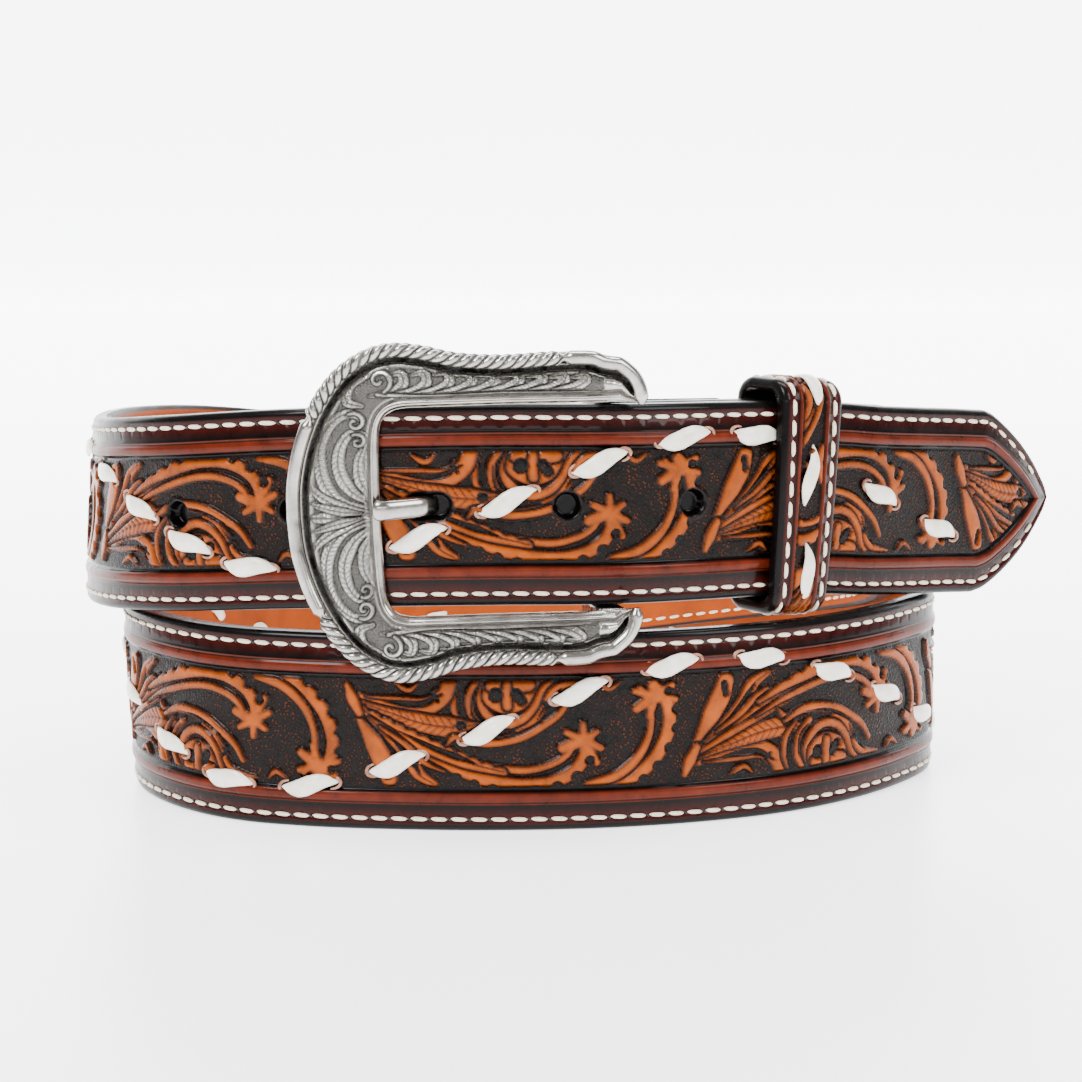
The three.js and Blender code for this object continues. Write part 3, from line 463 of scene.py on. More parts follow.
# Dark bites out of the outer side of the fronds, as place and radius.
STRAP_BITES = [
    (-5.6, 17.9, 0.9), (-2.2, 19.3, 1.0), (1.2, 20.6, 1.05), (4.8, 21.5, 1.1), (8.8, 22, 1.1),
    (12.8, 21.9, 1.1), (16.9, 21.2, 1.15), (20.6, 19.3, 1.2), (23, 16.2, 1.0), (33.2, 20.4, 1.1),
    (36, 17.8, 1.1), (38.2, 14.4, 1.1), (39.6, 10.6, 1.05), (39.5, 6.9, 1.0), (37.9, 3.3, 0.9),
]
# Dark troughs in the long leaves, with their widths.
STRAP_TROUGHS = [
    ([(51.5, 11.2), (58, 8.1), (66.5, 5)], 1.5), ([(49.4, 10.4), (53.2, 6.4), (55.6, 3)], 1.5),
    ([(48.6, 16.8), (55.5, 16.3), (60, 18.6)], 1.4), ([(13, 8), (15.2, 4.6), (17.6, 2)], 0.9),
    ([(0.4, 3), (0.9, 7), (3, 9.4)], 0.7), ([(2, 11.8), (8, 11.3), (14, 8.6)], 0.8),
]
# Hands of fingers where the fronds end: the palm, then the tip and width of each finger.
STRAP_HANDS = [
    ((21.8, 12.2), [((17.8, 13.6), 2.6), ((18.6, 10.6), 1.9), ((21.6, 9), 1.8), ((24.2, 10.6), 1.8),
                    ((25, 13.8), 2), ((24.2, 16.6), 2)]),
    ((35.4, 4), [((31.4, 3), 1.9), ((31.8, 6.4), 2.4), ((34.2, 8), 1.9), ((38.6, 2.2), 1.9),
                 ((39.2, 5), 1.9)]),
]


def carve_strap():
    """The strap's carving: a half repeat, and the same again upside down."""
    carving = Carving(2 * HALF_REPEAT, FIELD_DEPTH, 0.13, wraps=True)
    for half in (0, 1):
        flip = lambda u, v: (u + half * HALF_REPEAT, FIELD_DEPTH - v if half else v)
        for points, width, taper, *veining in STRAP_LEAVES:
            carving.leaf([flip(*p) for p in points], width, LEAF_LIFT, taper, *veining)
        for palm, fingers in STRAP_HANDS:
            for tip, width in fingers:
                line = [flip(*palm), flip(*tip)]
                carving.leaf(line, width, LEAF_LIFT, FINGER, merge=True)
            palm_line = [flip(palm[0] - 0.4, palm[1]), flip(palm[0] + 0.4, palm[1])]
            carving.leaf(palm_line, PALM_WIDTH, LEAF_LIFT, (1, 1), merge=True)
        for (u, v), length, width, tilt in STRAP_SEEDS:
            carving.seed(flip(u, v), length, width, tilt if half else -tilt)
        for points, width in STRAP_TROUGHS:
            carving.hollow([flip(*p) for p in points], width)
        for u, v, radius in STRAP_BITES:
            carving.seed(flip(u, v), 2 * radius, 2 * radius, dome=0)
    return carving


carving = carve_strap()

# Places of the first seed of each flower along the strap, and how many half repeats
# each is from the one beside the prong's window.
FLOWER_PLACES = np.array([(-62, -3), (71.6, -1), (138.4, 0), (203.4, 1), (628.9, 7),
                          (695.7, 8), (758.8, 9), (1223.8, 16)])
FIRST_SEED = 5.4


def pattern_place(length, height):
    phase = np.interp(length, FLOWER_PLACES[:, 0], FLOWER_PLACES[:, 1])
    return FIRST_SEED - phase * HALF_REPEAT, FIELD_TOP - height


# Colours of the strap
EDGE_BLACK = linear_colour(9, 6, 6)
BORDER_RED = linear_colour(50, 8, 5)
BORDER_DARK = linear_colour(9, 4, 3)
RIB_BROWN = linear_colour(84, 26, 9)
GROUND_BLACK = linear_colour(13, 7, 5)
LEAF_TAN = linear_colour(146, 66, 10)
# Black of the cuts, also used as painted shade in the punched holes and in the dents under the stitches.
CUT_AND_SHADE_BLACK = linear_colour(5, 2, 2)
LINING_TAN = linear_colour(146, 62, 6)

# Height and colour of the border, by distance in from the strap's edge.
EDGE_ROUND = 1.25
BORDER_HEIGHTS = np.array([
    (1.25, 0), (1.9, 0.02), (2.15, -0.12), (2.4, -0.2), (2.65, -0.12), (2.9, 0.02), (4.7, 0.04),
    (5.1, 0.12), (5.35, 0.2), (5.5, 0.1), (5.62, 0.1), (5.85, 0.36), (6.2, 0.48), (6.7, 0.52),
    (7.2, 0.46), (7.55, 0.3), (7.75, -0.05), (8, -0.36), (8.3, -0.42), (8.6, GROUND),
])
BORDER_COLOURS = [
    (0.0, EDGE_BLACK), (1.1, EDGE_BLACK), (1.5, BORDER_RED), (3.2, BORDER_RED),
    (3.8, BORDER_DARK), (5.2, BORDER_DARK), (5.35, RIB_BROWN), (5.6, BORDER_DARK),
    (5.8, RIB_BROWN), (7.3, RIB_BROWN), (7.7, CUT_AND_SHADE_BLACK), (8.5, CUT_AND_SHADE_BLACK),
    (8.7, GROUND_BLACK),
]
FIELD_INSET = 8.6


def border_height(inset):
    edge = np.clip(inset / EDGE_ROUND, 0, 1)
    rounded = EDGE_ROUND * (np.sqrt(np.clip(1 - (1 - edge) ** 2, 0, 1)) - 1)
    level = np.interp(inset, BORDER_HEIGHTS[:, 0], BORDER_HEIGHTS[:, 1])
    return np.where(inset < EDGE_ROUND, rounded, level)


def border_colour(inset):
    keys = [inset_at for inset_at, _ in BORDER_COLOURS]
    return np.stack([np.interp(inset, keys, [c[k] for _, c in BORDER_COLOURS]) for k in range(3)], -1)


def mix(a, b, share):
    return a + (b - a) * share[..., None]


STITCH_PITCH = 3.84
STITCH_INSET = 2.4
HOLE_PLACES = BILLET_BAR + PRONG_HOLE_REACH + HOLE_PITCH * np.arange(-HOLES_TO_BAR, HOLES_PAST + 1)


def tip_half(length):
    """Half the strap's width at a length from its tip."""
    share = smooth(TIP[:, 0] * TIP_LENGTH, TIP[:, 1], np.minimum(length, TIP[-1, 0] * TIP_LENGTH))
    return HALF_WIDTH * np.clip(share, 0, 1)


def face_columns(field_step):
    """Places across the strap's face, as insets in millimetres from an edge, through the border and the
    field to the middle.
    """
    turn = np.radians(np.array([0, 14, 28, 42, 56, 70, 82]))
    rounded = EDGE_ROUND * (1 - np.cos(turn))
    border = np.concatenate([rounded, BORDER_HEIGHTS[:, 0]])
    count = int(round((HALF_WIDTH - FIELD_INSET) / field_step))
    field = np.linspace(FIELD_INSET, HALF_WIDTH, count + 1)[1:]
    return np.concatenate([border, field])


def strap_skin(name, start, end, step, field_step):
    """One stretch of the tooled face with its rounded edges."""
    lengths = np.linspace(start, end, int(round((end - start) / step)) + 1)
    insets = face_columns(field_step)
    half = tip_half(lengths)[:, None]
    inset = np.minimum(insets[None], half)
    lower = HALF_WIDTH - half + inset
    upper = HALF_WIDTH + half - inset[:, -2::-1]
    height = np.concatenate([lower, upper], 1)
    inset = np.concatenate([inset, inset[:, -2::-1]], 1)
    length = np.broadcast_to(lengths[:, None], height.shape)

    out = border_height(inset)
    tone = border_colour(inset)
    u, v = pattern_place(length, height)
    in_field = smoothstep(FIELD_INSET - 0.3, FIELD_INSET + 0.1, inset)
    raised = carving.sample(carving.height, u, v)
    tan = carving.sample(carving.tan, u, v) * in_field
    cut = carving.sample(carving.cut, u, v) * in_field
    rim = smoothstep(FIELD_INSET, FIELD_INSET + 0.8, inset)
    out = np.where(inset >= FIELD_INSET, GROUND + (raised - GROUND) * rim, out)
    tone = mix(tone, LEAF_TAN, np.clip(tan * rim, 0, 1))
    tone = mix(tone, CUT_AND_SHADE_BLACK, np.clip(cut, 0, 1) * in_field)
    ground = in_field * (1 - np.clip(tan + cut * 0.6, 0, 1))

    # Painted shade: a dent under the middle of each stitch, blackened where the thread shades it.
    beat = np.abs((length / STITCH_PITCH) % 1 - 0.5) * STITCH_PITCH
    shaded_dent = smoothstep(0.55, 0.2, np.hypot(STITCH_PITCH / 2 - beat, inset - STITCH_INSET))
    out = out - 0.35 * shaded_dent
    tone = mix(tone, CUT_AND_SHADE_BLACK, 0.9 * shaded_dent)
    for place in HOLE_PLACES:
        stretch = PRONG_HOLE_STRETCH / 2 if abs(place - BILLET_BAR - PRONG_HOLE_REACH) < 1 else 0
        du = np.maximum(0, np.abs(length - place) - stretch)
        away = np.hypot(du, height - HALF_WIDTH)
        # Painted shade: each hole is a pit painted black, with a ring up to 1 mm round it, for the dark
        # inside of a hole through the strap.
        punched = smoothstep(HOLE_DIAMETER / 2 + 0.1, HOLE_DIAMETER / 2 - 0.35, away)
        margin = smoothstep(HOLE_DIAMETER / 2 + 1.0, HOLE_DIAMETER / 2 + 0.4, away)
        out = out * (1 - margin) + margin * (0.1 - 0.25 * smoothstep(0.7, 0, away - 2.4))
        out = out - 2.3 * punched
        tone = mix(tone, CUT_AND_SHADE_BLACK, margin)
        ground = ground * (1 - margin)

    side_low = np.stack([height[:, 0], height[:, 0]], 1)
    side_high = np.stack([height[:, -1], height[:, -1]], 1)
    depth = np.broadcast_to([-TOOLED_THICKNESS - 0.2, -TOOLED_THICKNESS * 0.8], side_low.shape)
    height = np.concatenate([side_low, height, side_high], 1)
    out = np.concatenate([depth, out, depth[:, ::-1]], 1)
    edge_tone = np.broadcast_to(EDGE_BLACK, side_low.shape + (3,))
    tone = np.concatenate([edge_tone, tone, edge_tone], 1)
    zero = np.zeros(side_low.shape)
    ground = np.concatenate([zero, ground, zero], 1)
    points = on_strap(lengths[:, None], height, out)
    rows, columns = height.shape
    return make_mesh(
        name, points.reshape(-1, 3), grid_quads(rows, columns), materials["tooled"],
        "tooled_leather", "tooled_strap", tone=tone.reshape(-1, 3), ground=ground.ravel(),
    )


# Materials

def new_material(name):
    material = bpy.data.materials.new(name)
    material.use_nodes = True
    nodes = material.node_tree.nodes
    return material, nodes, material.node_tree.links, nodes["Principled BSDF"]


def add_node(nodes, kind, **settings):
    node = nodes.new(kind)
    for key, value in settings.items():
        if hasattr(node, key):
            setattr(node, key, value)
        else:
            node.inputs[key].default_value = value
    return node


def set_inputs(node, values):
    for name, value in values.items():
        node.inputs[name].default_value = value


def noise_of(nodes, links, scale, detail=4.0, roughness=0.55, kind="ShaderNodeTexNoise"):
    place = nodes.get("place") or add_node(nodes, "ShaderNodeTexCoord", name="place")
    node = add_node(nodes, kind, Scale=scale)
    if kind == "ShaderNodeTexNoise":
        node.inputs["Detail"].default_value = detail
        node.inputs["Roughness"].default_value = roughness
    links.new(place.outputs["Object"], node.inputs["Vector"])
    return node


def ramp_of(nodes, links, source, low, high, low_value=0.0, high_value=1.0):
    node = add_node(nodes, "ShaderNodeMapRange")
    set_inputs(node, {"From Min": low, "From Max": high, "To Min": low_value, "To Max": high_value})
    links.new(source, node.inputs["Value"])
    return node.outputs["Result"]


def math_of(nodes, links, operation, a, b):
    node = add_node(nodes, "ShaderNodeMath", operation=operation)
    for socket, value in zip(node.inputs, (a, b)):
        if isinstance(value, (int, float)):
            socket.default_value = value
        else:
            links.new(value, socket)
    return node.outputs[0]


def mix_colour(nodes, links, share, a, b, blend="MIX"):
    node = add_node(nodes, "ShaderNodeMix", data_type="RGBA", blend_type=blend)
    for socket, value in zip((node.inputs[0], node.inputs[6], node.inputs[7]), (share, a, b)):
        if isinstance(value, (int, float)):
            socket.default_value = value
        elif isinstance(value, (tuple, np.ndarray)):
            socket.default_value = (*value, 1) if len(value) == 3 else value
        else:
            links.new(value, socket)
    return node.outputs[2]


def bump_of(nodes, links, height, distance, strength=1.0, normal=None):
    node = add_node(nodes, "ShaderNodeBump")
    set_inputs(node, {"Strength": strength, "Distance": distance})
    links.new(height, node.inputs["Height"])
    if normal is not None:
        links.new(normal, node.inputs["Normal"])
    return node.outputs["Normal"]


def attribute_of(nodes, name, output="Fac"):
    return add_node(nodes, "ShaderNodeAttribute", attribute_name=name).outputs[output]


def tooled_material():
    material, nodes, links, shader = new_material("tooled_leather")
    tone = attribute_of(nodes, "tone", "Color")
    ground = attribute_of(nodes, "ground")
    mottle = noise_of(nodes, links, 260, 6)
    blotch = noise_of(nodes, links, 70, 3)
    pebble = noise_of(nodes, links, 1500, kind="ShaderNodeTexVoronoi")
    grain = noise_of(nodes, links, 3200, 3)
    shade = ramp_of(nodes, links, mottle.outputs["Fac"], 0.3, 0.7, 0.62, 1.18)
    patch = ramp_of(nodes, links, blotch.outputs["Fac"], 0.3, 0.7, 0.8, 1.12)
    shade = math_of(nodes, links, "MULTIPLY", shade, patch)
    colour = mix_colour(nodes, links, 1.0, tone, shade, "MULTIPLY")
    fleck = ramp_of(nodes, links, pebble.outputs["Distance"], 0.42, 0.1)
    fleck = math_of(nodes, links, "MULTIPLY", fleck, ground)
    patches = ramp_of(nodes, links, mottle.outputs["Fac"], 0.38, 0.62)
    fleck = math_of(nodes, links, "MULTIPLY", fleck, patches)
    colour = mix_colour(nodes, links, fleck, colour, linear_colour(98, 44, 18))
    links.new(colour, shader.inputs["Base Color"])
    dull = math_of(nodes, links, "MULTIPLY", ground, 0.22)
    gloss = ramp_of(nodes, links, mottle.outputs["Fac"], 0.3, 0.7, 0.24, 0.38)
    links.new(math_of(nodes, links, "ADD", gloss, dull), shader.inputs["Roughness"])
    domes = ramp_of(nodes, links, pebble.outputs["Distance"], 0.6, 0.0)
    first = bump_of(nodes, links, math_of(nodes, links, "MULTIPLY", domes, ground), 0.0006, 1.0)
    normal = bump_of(nodes, links, grain.outputs["Fac"], 0.00004, 0.6, first)
    links.new(normal, shader.inputs["Normal"])
    set_inputs(shader, {"Coat Weight": 0.13, "Coat Roughness": 0.06, "Specular IOR Level": 0.06})
    return material


def lining_material():
    material, nodes, links, shader = new_material("lining_leather")
    tone = attribute_of(nodes, "tone", "Color")
    mottle = noise_of(nodes, links, 120, 5)
    grain = noise_of(nodes, links, 1800, 4)
    shade = ramp_of(nodes, links, mottle.outputs["Fac"], 0.3, 0.7, 0.78, 1.12)
    links.new(mix_colour(nodes, links, 1.0, tone, shade, "MULTIPLY"), shader.inputs["Base Color"])
    links.new(ramp_of(nodes, links, mottle.outputs["Fac"], 0.3, 0.7, 0.42, 0.56), shader.inputs["Roughness"])
    links.new(bump_of(nodes, links, grain.outputs["Fac"], 0.00008, 0.7), shader.inputs["Normal"])
    shader.inputs["Specular IOR Level"].default_value = 0.1
    return material


def thread_material():
    material, nodes, links, shader = new_material("cream_thread")
    fibre = noise_of(nodes, links, 2600, 2)
    shade = ramp_of(nodes, links, fibre.outputs["Fac"], 0.3, 0.7, 0.0, 1.0)
    colour = mix_colour(nodes, links, shade, linear_colour(205, 188, 152), linear_colour(247, 240, 222))
    links.new(colour, shader.inputs["Base Color"])
    links.new(bump_of(nodes, links, fibre.outputs["Fac"], 0.00012, 0.8), shader.inputs["Normal"])
    set_inputs(shader, {"Roughness": 0.55, "Sheen Weight": 0.2})
    return material


def lace_material():
    material, nodes, links, shader = new_material("white_lace")
    soil = noise_of(nodes, links, 420, 5)
    grain = noise_of(nodes, links, 2400, 3)
    shade = ramp_of(nodes, links, soil.outputs["Fac"], 0.35, 0.75, 0.0, 1.0)
    colour = mix_colour(nodes, links, shade, linear_colour(242, 239, 230), linear_colour(222, 212, 190))
    links.new(colour, shader.inputs["Base Color"])
    links.new(bump_of(nodes, links, grain.outputs["Fac"], 0.00005, 0.5), shader.inputs["Normal"])
    set_inputs(shader, {"Roughness": 0.28, "Coat Weight": 0.4, "Coat Roughness": 0.08})
    return material


# Painted shade: a dark colour for the pits between the stitches, standing for the shade in the needle holes.
def pit_shade_material():
    material, nodes, links, shader = new_material("needle_pit")
    mottle = noise_of(nodes, links, 700, 3)
    shade = ramp_of(nodes, links, mottle.outputs["Fac"], 0.3, 0.7)
    colour = mix_colour(nodes, links, shade, linear_colour(12, 6, 5), linear_colour(22, 10, 8))
    links.new(colour, shader.inputs["Base Color"])
    shader.inputs["Roughness"].default_value = 0.6
    return material


def slit_material():
    material, nodes, links, shader = new_material("slit_rim")
    mottle = noise_of(nodes, links, 900, 4)
    shade = ramp_of(nodes, links, mottle.outputs["Fac"], 0.3, 0.7, 0.0, 1.0)
    colour = mix_colour(nodes, links, shade, linear_colour(96, 44, 30), linear_colour(176, 128, 104))
    links.new(colour, shader.inputs["Base Color"])
    links.new(bump_of(nodes, links, mottle.outputs["Fac"], 0.0001, 0.7), shader.inputs["Normal"])
    shader.inputs["Roughness"].default_value = 0.42
    return material


def silver_material():
    material, nodes, links, shader = new_material("antique_silver")
    recess = attribute_of(nodes, "recess")
    stain = noise_of(nodes, links, 300, 5)
    stipple = noise_of(nodes, links, 2200, kind="ShaderNodeTexVoronoi")
    scratch = noise_of(nodes, links, 900, 3)
    silver = mix_colour(
        nodes, links, ramp_of(nodes, links, stain.outputs["Fac"], 0.3, 0.7),
        linear_colour(150, 147, 142), linear_colour(184, 180, 174),
    )
    shade = ramp_of(nodes, links, stain.outputs["Fac"], 0.2, 0.8, 0.85, 1.15)
    dark = math_of(nodes, links, "MULTIPLY", recess, shade)
    links.new(mix_colour(nodes, links, dark, silver, linear_colour(16, 14, 13)), shader.inputs["Base Color"])
    gloss = ramp_of(nodes, links, scratch.outputs["Fac"], 0.3, 0.7, 0.17, 0.27)
    dull = math_of(nodes, links, "MULTIPLY", recess, 0.35)
    links.new(math_of(nodes, links, "ADD", gloss, dull), shader.inputs["Roughness"])
    pits = math_of(nodes, links, "MULTIPLY", stipple.outputs["Distance"], recess)
    first = bump_of(nodes, links, pits, 0.0003, 0.8)
    links.new(bump_of(nodes, links, scratch.outputs["Fac"], 0.00003, 0.4, first), shader.inputs["Normal"])
    shader.inputs["Metallic"].default_value = 1.0
    return material


def floor_material():
    material, nodes, links, shader = new_material("pale_floor")
    cloud = noise_of(nodes, links, 3, 2)
    shade = ramp_of(nodes, links, cloud.outputs["Fac"], 0.3, 0.7)
    colour = mix_colour(nodes, links, shade, linear_colour(244, 244, 244), linear_colour(250, 250, 250))
    links.new(colour, shader.inputs["Base Color"])
    shader.inputs["Roughness"].default_value = 0.3
    place = add_node(nodes, "ShaderNodeSeparateXYZ")
    links.new(nodes["place"].outputs["Object"], place.inputs[0])
    # Painted light: the floor glows, at strength one in front of the belt and rising to five behind it and
    # up the wall.
    painted_floor_glow = ramp_of(nodes, links, place.outputs["Y"], -0.3, 0.9, 1.0, 5.0)
    links.new(painted_floor_glow, shader.inputs["Emission Strength"])
    shader.inputs["Emission Color"].default_value = (0.975, 0.99, 1, 1)
    return material


materials = {
    "tooled": tooled_material(),
    "lining": lining_material(),
    "thread": thread_material(),
    "lace": lace_material(),
    "pit": pit_shade_material(),
    "slit": slit_material(),
    "silver": silver_material(),
    "floor": floor_material(),
}


# Strap: fine where the camera sees it, coarser round the back
SKIN_STEP, BACK_STEP = 0.34, 1.0
SKIN_FIELD, BACK_FIELD = 0.27, 0.7
SKINS = [
    ("strap_face_tip", 0, 88, SKIN_STEP, SKIN_FIELD),
    ("strap_face_buckle", 88, 176, SKIN_STEP, SKIN_FIELD),
    ("strap_face_left", 176, 264, SKIN_STEP, SKIN_FIELD),
    ("strap_face_back", 264, 572, BACK_STEP, BACK_FIELD),
    ("strap_face_lower_right", 572, 652, SKIN_STEP, SKIN_FIELD),
    ("strap_face_lower_middle", 652, 732, SKIN_STEP, SKIN_FIELD),
    ("strap_face_lower_left", 732, 812, SKIN_STEP, SKIN_FIELD),
    ("strap_face_end", 812, STRAP_RUN, BACK_STEP, BACK_FIELD),
]
for skin in SKINS:
    strap_skin(*skin)


def strap_fold():
    """The end of the tooled layer, bent round the bar and back along the inside."""
    insets = face_columns(1.2)
    across = np.concatenate([insets, STRAP_WIDTH - insets[-2::-1]])
    inset = np.minimum(across, STRAP_WIDTH - across)
    face = border_height(inset)
    loop_height = np.concatenate([across, across[::-1][1:-1]])
    loop_out = np.concatenate([face, np.full(len(across) - 2, -TOOLED_THICKNESS)])
    loop_inset = np.minimum(loop_height, STRAP_WIDTH - loop_height)
    bend = np.radians(np.linspace(0, 180, 33))
    point, along, up, out = (a[0] for a in strap_at(np.array([STRAP_RUN])))
    rings = []
    for angle in bend:
        turned = out * math.cos(angle) + along * math.sin(angle)
        middle = point - out * BAR_DEPTH + turned * BAR_DEPTH
        rings.append(middle + loop_height[:, None] * up + loop_out[:, None] * turned)
    settled = STRAP_THICKNESS + SEAM_GAP + TOOLED_THICKNESS
    for share in np.linspace(0, 1, 27)[1:]:
        point, _, up, out = (a[0] for a in strap_at(np.array([STRAP_RUN - FLAP_LENGTH * share])))
        ease = 1 - (1 - share) ** 3
        depth = 2 * BAR_DEPTH + (settled - 2 * BAR_DEPTH) * ease
        base = point - out * depth
        rings.append(base + loop_height[:, None] * up - loop_out[:, None] * out)
    rings = np.array(rings)
    tone = np.broadcast_to(border_colour(loop_inset), rings.shape)
    rows, columns = rings.shape[:2]
    quads = grid_quads(rows, columns, wrap_columns=True)
    middle = np.abs(loop_height - HALF_WIDTH)[quads % columns].max(1)
    row = quads.min(1) // columns
    slot = (middle < PRONG_WIDTH / 2 + WINDOW_CLEARANCE) & (row < 41)
    make_mesh(
        "strap_fold", rings.reshape(-1, 3), quads[~slot], materials["tooled"], "tooled_leather",
        tone=tone.reshape(-1, 3), ground=np.zeros(rows * columns),
    )


strap_fold()


def lining_skin():
    """The tan inner layer with its burnished edges."""
    last = STRAP_RUN - LINING_SETBACK
    lengths = np.linspace(0, last, 900)
    half = tip_half(lengths)[:, None]
    front = -TOOLED_THICKNESS - 0.1
    section = np.array([
        (0.02, front), (0, -3.0), (0.05, -3.4), (0.25, -3.72), (0.6, -3.93), (1.1, -4.0),
        (2.1, -4.0), (2.4, -3.9), (2.7, -4.0), (6, -4.0), (12, -4.0), (HALF_WIDTH, -4.0),
    ])
    inset = np.minimum(section[:, 0], half)
    height = np.concatenate([HALF_WIDTH - half + inset, HALF_WIDTH + half - inset[:, -2::-1]], 1)
    out = np.concatenate([section[:, 1], section[-2::-1, 1]])
    inset = np.concatenate([inset, inset[:, -2::-1]], 1)
    points = on_strap(lengths[:, None], height, out)
    tone = mix(np.broadcast_to(EDGE_BLACK, inset.shape + (3,)), LINING_TAN, smoothstep(0.55, 1.0, inset))
    rows, columns = inset.shape
    make_mesh(
        "lining_face", points.reshape(-1, 3), grid_quads(rows, columns)[:, ::-1],
        materials["lining"], "lining_leather", "strap_lining", tone=tone.reshape(-1, 3),
    )


lining_skin()


# Stitches and lace

def ridge_template(rings, around, profile, width, height, sink):
    """A low mound: points along from -1 to 1, half width and height by share."""
    along = np.linspace(-1, 1, rings)
    turn = np.linspace(0, 2 * np.pi, around, endpoint=False)
    girth = profile(along)
    x = np.repeat(along[:, None], around, 1)
    y = np.cos(turn)[None] * girth[:, None] * width / 2
    z = np.sin(turn)[None] * girth[:, None] ** 0.7 * height - sink * (1 - girth[:, None])
    return np.stack([x, y, z], -1).reshape(-1, 3), grid_quads(rings, around, wrap_columns=True)


def place_template(surface, template, quads, places, half_length, name, material, slot):
    """Copies of a template on a surface: places hold length, height, slant and base."""
    places = np.asarray(places, float)
    length, height, slant, base = (places[:, k, None] for k in range(4))
    x = template[None, :, 0] * half_length
    y = template[None, :, 1]
    at = length + x * np.cos(slant) - y * np.sin(slant)
    up = height + x * np.sin(slant) + y * np.cos(slant)
    points = surface(at, up, base + template[None, :, 2])
    all_quads = repeat_template(template, quads, len(places))
    return make_mesh(name, points.reshape(-1, 3), all_quads, material, slot)


STITCH_LENGTH = 3.15
stitch_profile = lambda x: np.clip(1 - np.abs(x) ** 3.2, 0.06, 1) ** 0.5
stitch, stitch_quads = ridge_template(7, 6, stitch_profile, 0.84, 0.42, 0.3)
pit, pit_quads = ridge_template(4, 5, stitch_profile, 0.5, 0.1, 0.1)


def edge_stitches():
    """Cream stitches along both edges of the face and of the lining."""
    start = 2 * STITCH_PITCH
    count = int((STRAP_RUN - start) / STITCH_PITCH)
    lengths = start + STITCH_PITCH * np.arange(count)
    half = tip_half(lengths)
    slope = np.arctan((tip_half(lengths + 0.5) - half) / 0.5)
    keep = half > STITCH_INSET + 1
    inset = STITCH_INSET / np.cos(slope)
    for side, name in ((-1, "lower"), (1, "upper")):
        height = HALF_WIDTH + side * (half - inset)
        slant = side * slope + 0.05
        places = np.stack([lengths, height, slant, np.full(count, -0.02)], -1)[keep]
        place_template(on_strap, stitch, stitch_quads, places, STITCH_LENGTH / 2,
                       f"edge_stitches_{name}", materials["thread"], "thread")
        # The dark pits between the stitches are painted shade in the needle holes.
        between = places + [STITCH_PITCH / 2, 0, 0, 0]
        between[:, 2] += 0.7
        place_template(on_strap, pit, pit_quads, between, 0.62, f"needle_pits_{name}",
                       materials["pit"], "thread")
        inner = places[places[:, 0] < STRAP_RUN - LINING_SETBACK - 2]
        inner[:, 3] = -STRAP_THICKNESS + 0.12
        place_template(on_strap, stitch * [1, 1, -1], stitch_quads[:, ::-1], inner,
                       STITCH_LENGTH / 2, f"lining_stitches_{name}", materials["thread"], "thread")


edge_stitches()

# The lace: places of stitches along the strap with their numbers, and the wave that
# the middles of ten stitches follow across it.
LACE_PLACES = np.array([
    (4, -8), (21.5, -7), (39, -6), (58, -5), (74, -4), (90.6, -3), (106.8, -2), (123.7, -1),
    (140.8, 0), (157.2, 1), (173.6, 2), (190.3, 3), (203.9, 4), (217, 5), (231.1, 6),
    (591.7, 24), (607.7, 25), (624.9, 26), (642.6, 27), (661.6, 28), (679.6, 29), (697.1, 30),
    (714.5, 31), (731.6, 32), (749, 33), (765.1, 34), (782.9, 35), (1185, 58),
])
LACE_WAVE = np.array([19.9, 13.2, 8.5, 8.5, 13.5, 20.4, 27.2, 31.7, 31.6, 27.2])
LACE_LENGTH = 12.0
LACE_WIDTH = 3.9
FIRST_LACE, LAST_LACE = -6, 57


def lace_stations():
    numbers = np.arange(FIRST_LACE - 1, LAST_LACE + 2)
    lengths = np.interp(numbers, LACE_PLACES[:, 1], LACE_PLACES[:, 0])
    heights = LACE_WAVE[numbers % len(LACE_WAVE)]
    slants = np.arctan2(heights[2:] - heights[:-2], lengths[2:] - lengths[:-2])
    return lengths[1:-1], heights[1:-1], slants


def leaf_girth(x):
    """Outline of a lace stitch: fuller towards one end, pointed where it enters."""
    shares = [-1, -0.88, -0.64, -0.3, 0.05, 0.4, 0.7, 0.9, 1]
    widths = [0.05, 0.3, 0.58, 0.87, 1.0, 0.9, 0.6, 0.3, 0.05]
    return np.interp(x, shares, widths)


def lace_template(rings=18, around=12):
    """A flat lace bowed over the face, its ends tucked in."""
    x = np.linspace(-1, 1, rings)
    turn = np.linspace(0, 2 * np.pi, around, endpoint=False)
    girth = leaf_girth(x)[:, None]
    bow = (1 - np.abs(x) ** 2.6)[:, None] * 1.25 - 0.45
    y = np.sign(np.cos(turn)) * np.abs(np.cos(turn)) ** 0.8 * girth * LACE_WIDTH / 2
    y = y - 0.5 * np.sin(np.pi * x)[:, None]
    z = bow + np.sin(turn) * 0.55 * (0.4 + 0.6 * girth) - 0.25 * np.abs(np.cos(turn)) ** 3
    points = np.stack([np.broadcast_to(x[:, None], y.shape), y, z], -1)
    return points.reshape(-1, 3), grid_quads(rings, around, wrap_columns=True)


def slit_template(end, around=7, steps=13):
    """The puckered rim of the slit round one end of a lace stitch."""
    sweep = np.radians(np.linspace(-105, 105, steps))
    radius_u, radius_v = 1.7, 1.2
    turn = np.linspace(0, 2 * np.pi, around, endpoint=False)
    thick = 0.3 * np.cos(sweep * 0.75)[:, None] ** 0.6 + 0.05
    u = end * (LACE_LENGTH / 2 - 1.5 + radius_u * np.cos(sweep))[:, None]
    v = (radius_v * np.sin(sweep))[:, None]
    u = u + end * np.cos(turn) * thick * np.cos(sweep)[:, None]
    v = v + np.cos(turn) * thick * np.sin(sweep)[:, None]
    z = np.sin(turn) * thick + 0.02
    points = np.stack([u, v, z], -1).reshape(-1, 3)
    quads = grid_quads(steps, around, wrap_columns=True)
    return points, quads if end > 0 else quads[:, ::-1]


lace, lace_quads = lace_template()


